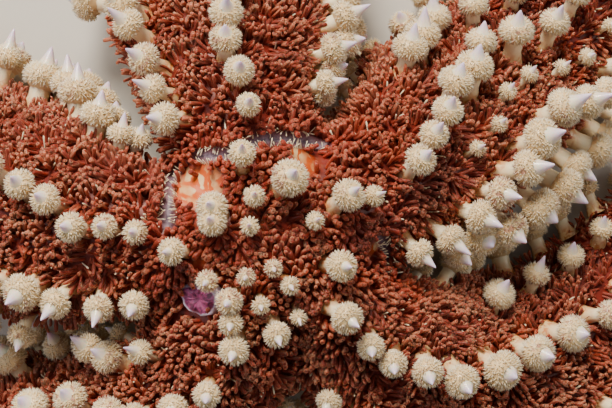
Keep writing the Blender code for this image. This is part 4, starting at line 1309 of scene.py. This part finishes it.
class STARFISH_OT_sieve_plate(Operator):
    """Set the water sieve on the disc, domed and grooved, with a pale rim"""
    bl_idname = "starfish.sieve_plate"
    bl_label = "Sieve plate"

    def execute(self, context):
        heading, distance = SIEVE_PLATE
        roots, facing = Skin.place([disc_point(heading, distance)])
        root, up = roots[0], facing[0]
        aside, across = frames_about(np.array([up]), np.array([0.4]))
        rings, sides = SIEVE_RINGS, SIEVE_SIDES
        vertices, rim = [], []
        for r in range(rings + 1):
            t = r / rings
            for k in range(sides):
                angle = 2.0 * math.pi * k / sides
                ripple = 0.09 * math.sin(18 * angle + 5.0 * math.sin(3 * angle))
                ripple = ripple * smooth(t * 2.0) * (1 - t ** 4)
                uneven = 1.0 + 0.16 * math.sin(2 * angle + 0.6) + 0.10 * math.sin(3 * angle + 1.0)
                reach = SIEVE_REACH * t * (uneven + 0.05 * math.sin(7 * angle))
                flange = 0.32 * math.sin(5 * angle + 0.8) + 0.18 * math.sin(9 * angle)
                dome = 1.35 + 0.45 * math.sin(min(t * 1.35, 1.0) * math.pi) * t
                high = dome + ripple + flange * smooth((t - 0.45) / 0.3)
                high = (high - 9.0 * max(0.0, t - 0.86)) * MM
                outward = aside[0] * math.cos(angle) + across[0] * math.sin(angle)
                vertices.append(root + outward * reach + up * high)
                rim.append(smooth((t - 0.66) / 0.2))
        vertices.append(root - up * 0.5 * MM)
        rim.append(1.0)
        faces, tris = [], []
        for r in range(rings):
            for k in range(sides):
                n = (k + 1) % sides
                faces.append((r * sides + k, (r + 1) * sides + k, (r + 1) * sides + n, r * sides + n))
        for k in range(sides):
            tris.append((rings * sides + k, len(vertices) - 1, rings * sides + (k + 1) % sides))
        piece = solid("sieve_plate", np.array(vertices), [np.array(faces), np.array(tris)],
                      {"rim": np.array(rim, float)})
        finish_piece(piece, sieve_limestone(context.scene.starfish_colours))
        return {"FINISHED"}


# Tube feet and groove spines: places across the arm as a share of its half width, the spines' leans, and sizes
FOOT_COLUMNS = (-0.13, -0.05, 0.05, 0.13)
EDGE_COLUMNS = ((0.27, 0.1), (0.36, 0.45))
FOOT_WIDTH = 0.42 * MM
FOOT_STEP = 0.95 * MM
EDGE_WIDTH = 0.2 * MM
FOOT_PROFILE = ((-0.1, 0.9), (0.25, 1.0), (0.6, 0.82), (0.84, 0.9), (0.92, 1.7), (1.0, 1.75), (0.99, 0.0))
EDGE_PROFILE = ((-0.5, 1.0), (0.5, 1.0), (0.9, 0.75), (1.0, 0.0))


class STARFISH_OT_tube_feet(Operator):
    """Hang the tube feet in the grooves and set the small spines along the grooves' edges"""
    bl_idname = "starfish.tube_feet"
    bl_label = "Tube feet and groove spines"

    def execute(self, context):
        state = np.random.RandomState(5)
        roots, ways, lengths, widths, places = [], [], [], [], []
        edge_roots, edge_ways, edge_lengths, edge_places = [], [], [], []
        for name, arm in ARMS.items():
            s = START - 2.0 * MM
            row = 0
            while s < ARM_RADIUS - 2.5 * MM:
                outer = max(s, START)
                small = 1.0 - 0.55 * float(along(outer))
                point, tangent, side, up = (v[0] for v in arm.frame(s))
                w, h = float(half_width(outer)), float(arm_height(outer))
                for column, offset in enumerate(FOOT_COLUMNS):
                    if (row + column) % 2:
                        continue
                    start = point + side * offset * w + up * GROOVE_DEPTH * h * 1.1
                    end = point + side * (offset * 1.5 * w + state.normal() * 0.25 * MM)
                    end = end + tangent * state.normal() * 0.5 * MM
                    end = end + up * state.uniform(0.15, 0.5) * MM * (1.0 if point[2] < 1.5 * MM else -1.0)
                    end[2] = max(end[2], 0.12 * MM)
                    way = end - start
                    roots.append(start)
                    lengths.append(np.linalg.norm(way))
                    ways.append(unit(way))
                    widths.append(FOOT_WIDTH * small)
                    places.append(patch_place(name, 0.5 + offset, float(along(outer))))
                for sign in (1, -1):
                    for offset, lean in EDGE_COLUMNS:
                        root = point + side * sign * offset * w + up * 0.8 * MM
                        way = unit(-up + side * sign * lean + tangent * state.normal() * 0.15)
                        long = (0.75 if root[2] < 1.9 * MM else 1.6) * MM * small
                        edge_roots.append(root)
                        edge_ways.append(way)
                        edge_lengths.append(long)
                        edge_places.append(patch_place(name, 0.5 + sign * offset, float(along(outer))))
                s += FOOT_STEP * (0.6 + 0.4 * small)
                row += 1
        colours = context.scene.starfish_colours
        shape = (np.array(roots), np.array(ways), np.array(lengths), np.array(widths), FOOT_PROFILE, 8,
                 state.uniform(0, 6.28, len(roots)))
        turned_piece("tube_feet", places, shape, {"rise": as_is}, foot_membrane(colours))
        count = len(edge_roots)
        shape = (np.array(edge_roots), np.array(edge_ways), np.array(edge_lengths), np.full(count, EDGE_WIDTH),
                 EDGE_PROFILE, 5, state.uniform(0, 6.28, count))
        marks = {"rise": as_is, "tone": constant(0.3)}
        turned_piece("groove_spines", edge_places, shape, marks, pincer_chalk(colours))
        return {"FINISHED"}


# The mouth's membrane, from its outer edge in to the lips and back, as (reach, height) in mm
MOUTH_PROFILE = ((2.55, 1.5), (1.9, 1.15), (1.3, 0.95), (0.8, 1.0), (0.42, 1.3), (0.34, 1.8), (0.6, 2.1),
                 (1.4, 1.8), (2.55, 2.0))
MOUTH_PLEATS = 20
MOUTH_SPINE_LENGTH = 1.9 * MM
MOUTH_SPINE_WIDTH = 0.24 * MM
MOUTH_SPINE_PROFILE = ((-0.3, 0.9), (0.4, 1.0), (0.85, 0.8), (1.0, 0.45), (1.04, 0.0))
# The spines of one jaw: reach in mm, and degrees beside the jaw's middle
MOUTH_SPINES = ((3.1, -7.0), (3.1, 7.0), (3.9, -13.0), (3.9, 13.0))


class STARFISH_OT_mouth(Operator):
    """Stretch the pleated membrane across the mouth and set the blunt spines at the five corners of the jaws"""
    bl_idname = "starfish.mouth"
    bl_label = "Mouth"

    def execute(self, context):
        sides = 6 * MOUTH_PLEATS
        count = len(MOUTH_PROFILE)
        vertices, quads = [], []
        for k in range(sides):
            angle = 2.0 * math.pi * k / sides
            pleat = 0.10 * math.sin(MOUTH_PLEATS * angle)
            for reach, high in MOUTH_PROFILE:
                x, y = reach * math.cos(angle), reach * math.sin(angle)
                vertices.append((x, y, high + pleat * math.sin(math.pi * (reach - 0.3) / 2.3)))
        for k in range(sides):
            n = (k + 1) % sides
            for j in range(count):
                m = (j + 1) % count
                quads.append((k * count + j, n * count + j, n * count + m, k * count + m))
        piece = solid("mouth_membrane", on_disc(np.array(vertices) * MM), [np.array(quads)],
                      {"rise": np.full(len(vertices), 0.4)})
        finish_piece(piece, foot_membrane(context.scene.starfish_colours))
        roots, ways, places = [], [], []
        for corner in range(5):
            for reach, aside in MOUTH_SPINES:
                angle = FIRST_HEADING + math.radians(36.0 + 72.0 * corner + aside)
                outward = np.array((math.cos(angle), math.sin(angle), 0.0))
                roots.append(on_disc((outward * reach + (0.0, 0.0, 0.5)) * MM))
                ways.append(TILT @ unit(np.array((0.0, 0.0, -1.0)) - outward * 0.5))
                places.append(patch_place("disc", 0.5, 0.5))
        count = len(roots)
        shape = (np.array(roots), np.array(ways), np.full(count, MOUTH_SPINE_LENGTH),
                 np.full(count, MOUTH_SPINE_WIDTH), MOUTH_SPINE_PROFILE, 8, np.zeros(count))
        marks = {"rise": as_is, "tone": constant(0.3)}
        chalk = pincer_chalk(context.scene.starfish_colours)
        turned_piece("mouth_spines", places, shape, marks, chalk)
        return {"FINISHED"}


FLOOR_HALF = 3.0
# Lamps: place to the camera's right, above and before it, from what it looks at; width, watts and colour
LIGHTS = (
    ("key", (-0.12, 0.43, -0.37), 0.28, 7.5, "#FFF2E0"),
    ("fill", (-0.45, 0.05, -0.40), 0.45, 1.3, "#F6F4FA"),
    ("rim", (0.5, 0.1, -0.2), 0.3, 0.8, "#FFF9F2"),
)
LAMP_LOWEST = 0.12
SKY_COLOUR = "#DDE1E6"
SKY_STRENGTH = 0.22


class STARFISH_OT_stage(Operator):
    """Lay the plain floor and set the soft lights and the camera"""
    bl_idname = "starfish.stage"
    bl_label = "Floor, lights and camera"

    def execute(self, context):
        scene = context.scene
        corners = [(x * FLOOR_HALF, y * FLOOR_HALF, 0.0) for x, y in ((-1, -1), (1, -1), (1, 1), (-1, 1))]
        floor = solid("floor", corners, [np.array([[0, 1, 2, 3]])])
        floor.data.materials.append(plaster_floor(scene.starfish_colours))
        flat = math.cos(CAMERA_ELEVATION)
        forward = np.array((math.sin(CAMERA_AZIMUTH) * flat, math.cos(CAMERA_AZIMUTH) * flat,
                            -math.sin(CAMERA_ELEVATION)))
        right = np.array((math.cos(CAMERA_AZIMUTH), -math.sin(CAMERA_AZIMUTH), 0.0))
        up = np.cross(right, forward)
        c, s = math.cos(CAMERA_ROLL), math.sin(CAMERA_ROLL)
        right, up = c * right + s * up, c * up - s * right
        data = bpy.data.cameras.new("camera")
        data.sensor_width = SENSOR_WIDTH
        data.lens = FOCAL_PIXELS / IMAGE_WIDTH * SENSOR_WIDTH
        data.clip_start = 0.01
        camera = bpy.data.objects.new("camera", data)
        context.collection.objects.link(camera)
        place = CAMERA_TARGET - forward * CAMERA_DISTANCE
        rows = [[right[i], up[i], -forward[i], place[i]] for i in range(3)]
        camera.matrix_world = Matrix(rows + [[0.0, 0.0, 0.0, 1.0]])
        scene.camera = camera
        for name, (beside, above, before), width, power, tint in LIGHTS:
            lamp = bpy.data.lights.new(name, "AREA")
            lamp.shape = "DISK"
            lamp.size = width
            lamp.energy = power
            lamp.color = linear(tint)
            obj = bpy.data.objects.new(name, lamp)
            obj.visible_camera = False
            context.collection.objects.link(obj)
            spot = Vector(CAMERA_TARGET + right * beside + up * above + forward * before)
            spot.z = max(spot.z, LAMP_LOWEST)
            obj.location = spot
            obj.rotation_euler = (Vector(CAMERA_TARGET) - spot).to_track_quat("-Z", "Y").to_euler()
        world = bpy.data.worlds.new("studio")
        world.use_nodes = True
        sky = world.node_tree.nodes["Background"].inputs
        sky["Color"].default_value = rgba(linear(SKY_COLOUR))
        sky["Strength"].default_value = SKY_STRENGTH
        scene.world = world
        return {"FINISHED"}


OPERATORS = (STARFISH_OT_skin, STARFISH_OT_gills, STARFISH_OT_spines, STARFISH_OT_small_pincers,
             STARFISH_OT_sieve_plate, STARFISH_OT_tube_feet, STARFISH_OT_mouth, STARFISH_OT_stage)


class STARFISH_PT_panel(Panel):
    """The sidebar panel with the sizes, colours and pieces"""
    bl_idname = "STARFISH_PT_panel"
    bl_label = "Spiny starfish"
    bl_space_type = "VIEW_3D"
    bl_region_type = "UI"
    bl_category = "Starfish"

    def draw(self, context):
        scene = context.scene
        for group in (scene.starfish_body, scene.starfish_spines, scene.starfish_colours):
            box = self.layout.box()
            for key in group.bl_rna.properties.keys():
                if key not in ("rna_type", "name"):
                    box.prop(group, key)
        for operator in OPERATORS:
            self.layout.operator(operator.bl_idname)


CLASSES = (StarfishBody, StarfishSpines, StarfishColours) + OPERATORS + (STARFISH_PT_panel,)


def register():
    for cls in CLASSES:
        bpy.utils.register_class(cls)
    bpy.types.Scene.starfish_body = PointerProperty(type=StarfishBody)
    bpy.types.Scene.starfish_spines = PointerProperty(type=StarfishSpines)
    bpy.types.Scene.starfish_colours = PointerProperty(type=StarfishColours)


def unregister():
    del bpy.types.Scene.starfish_body
    del bpy.types.Scene.starfish_spines
    del bpy.types.Scene.starfish_colours
    for cls in reversed(CLASSES):
        bpy.utils.unregister_class(cls)


def main():
    register()
    bpy.ops.starfish.skin()
    bpy.ops.starfish.gills()
    bpy.ops.starfish.spines()
    bpy.ops.starfish.small_pincers()
    bpy.ops.starfish.sieve_plate()
    bpy.ops.starfish.tube_feet()
    bpy.ops.starfish.mouth()
    bpy.ops.starfish.stage()


if __name__ == "__main__":
    main()
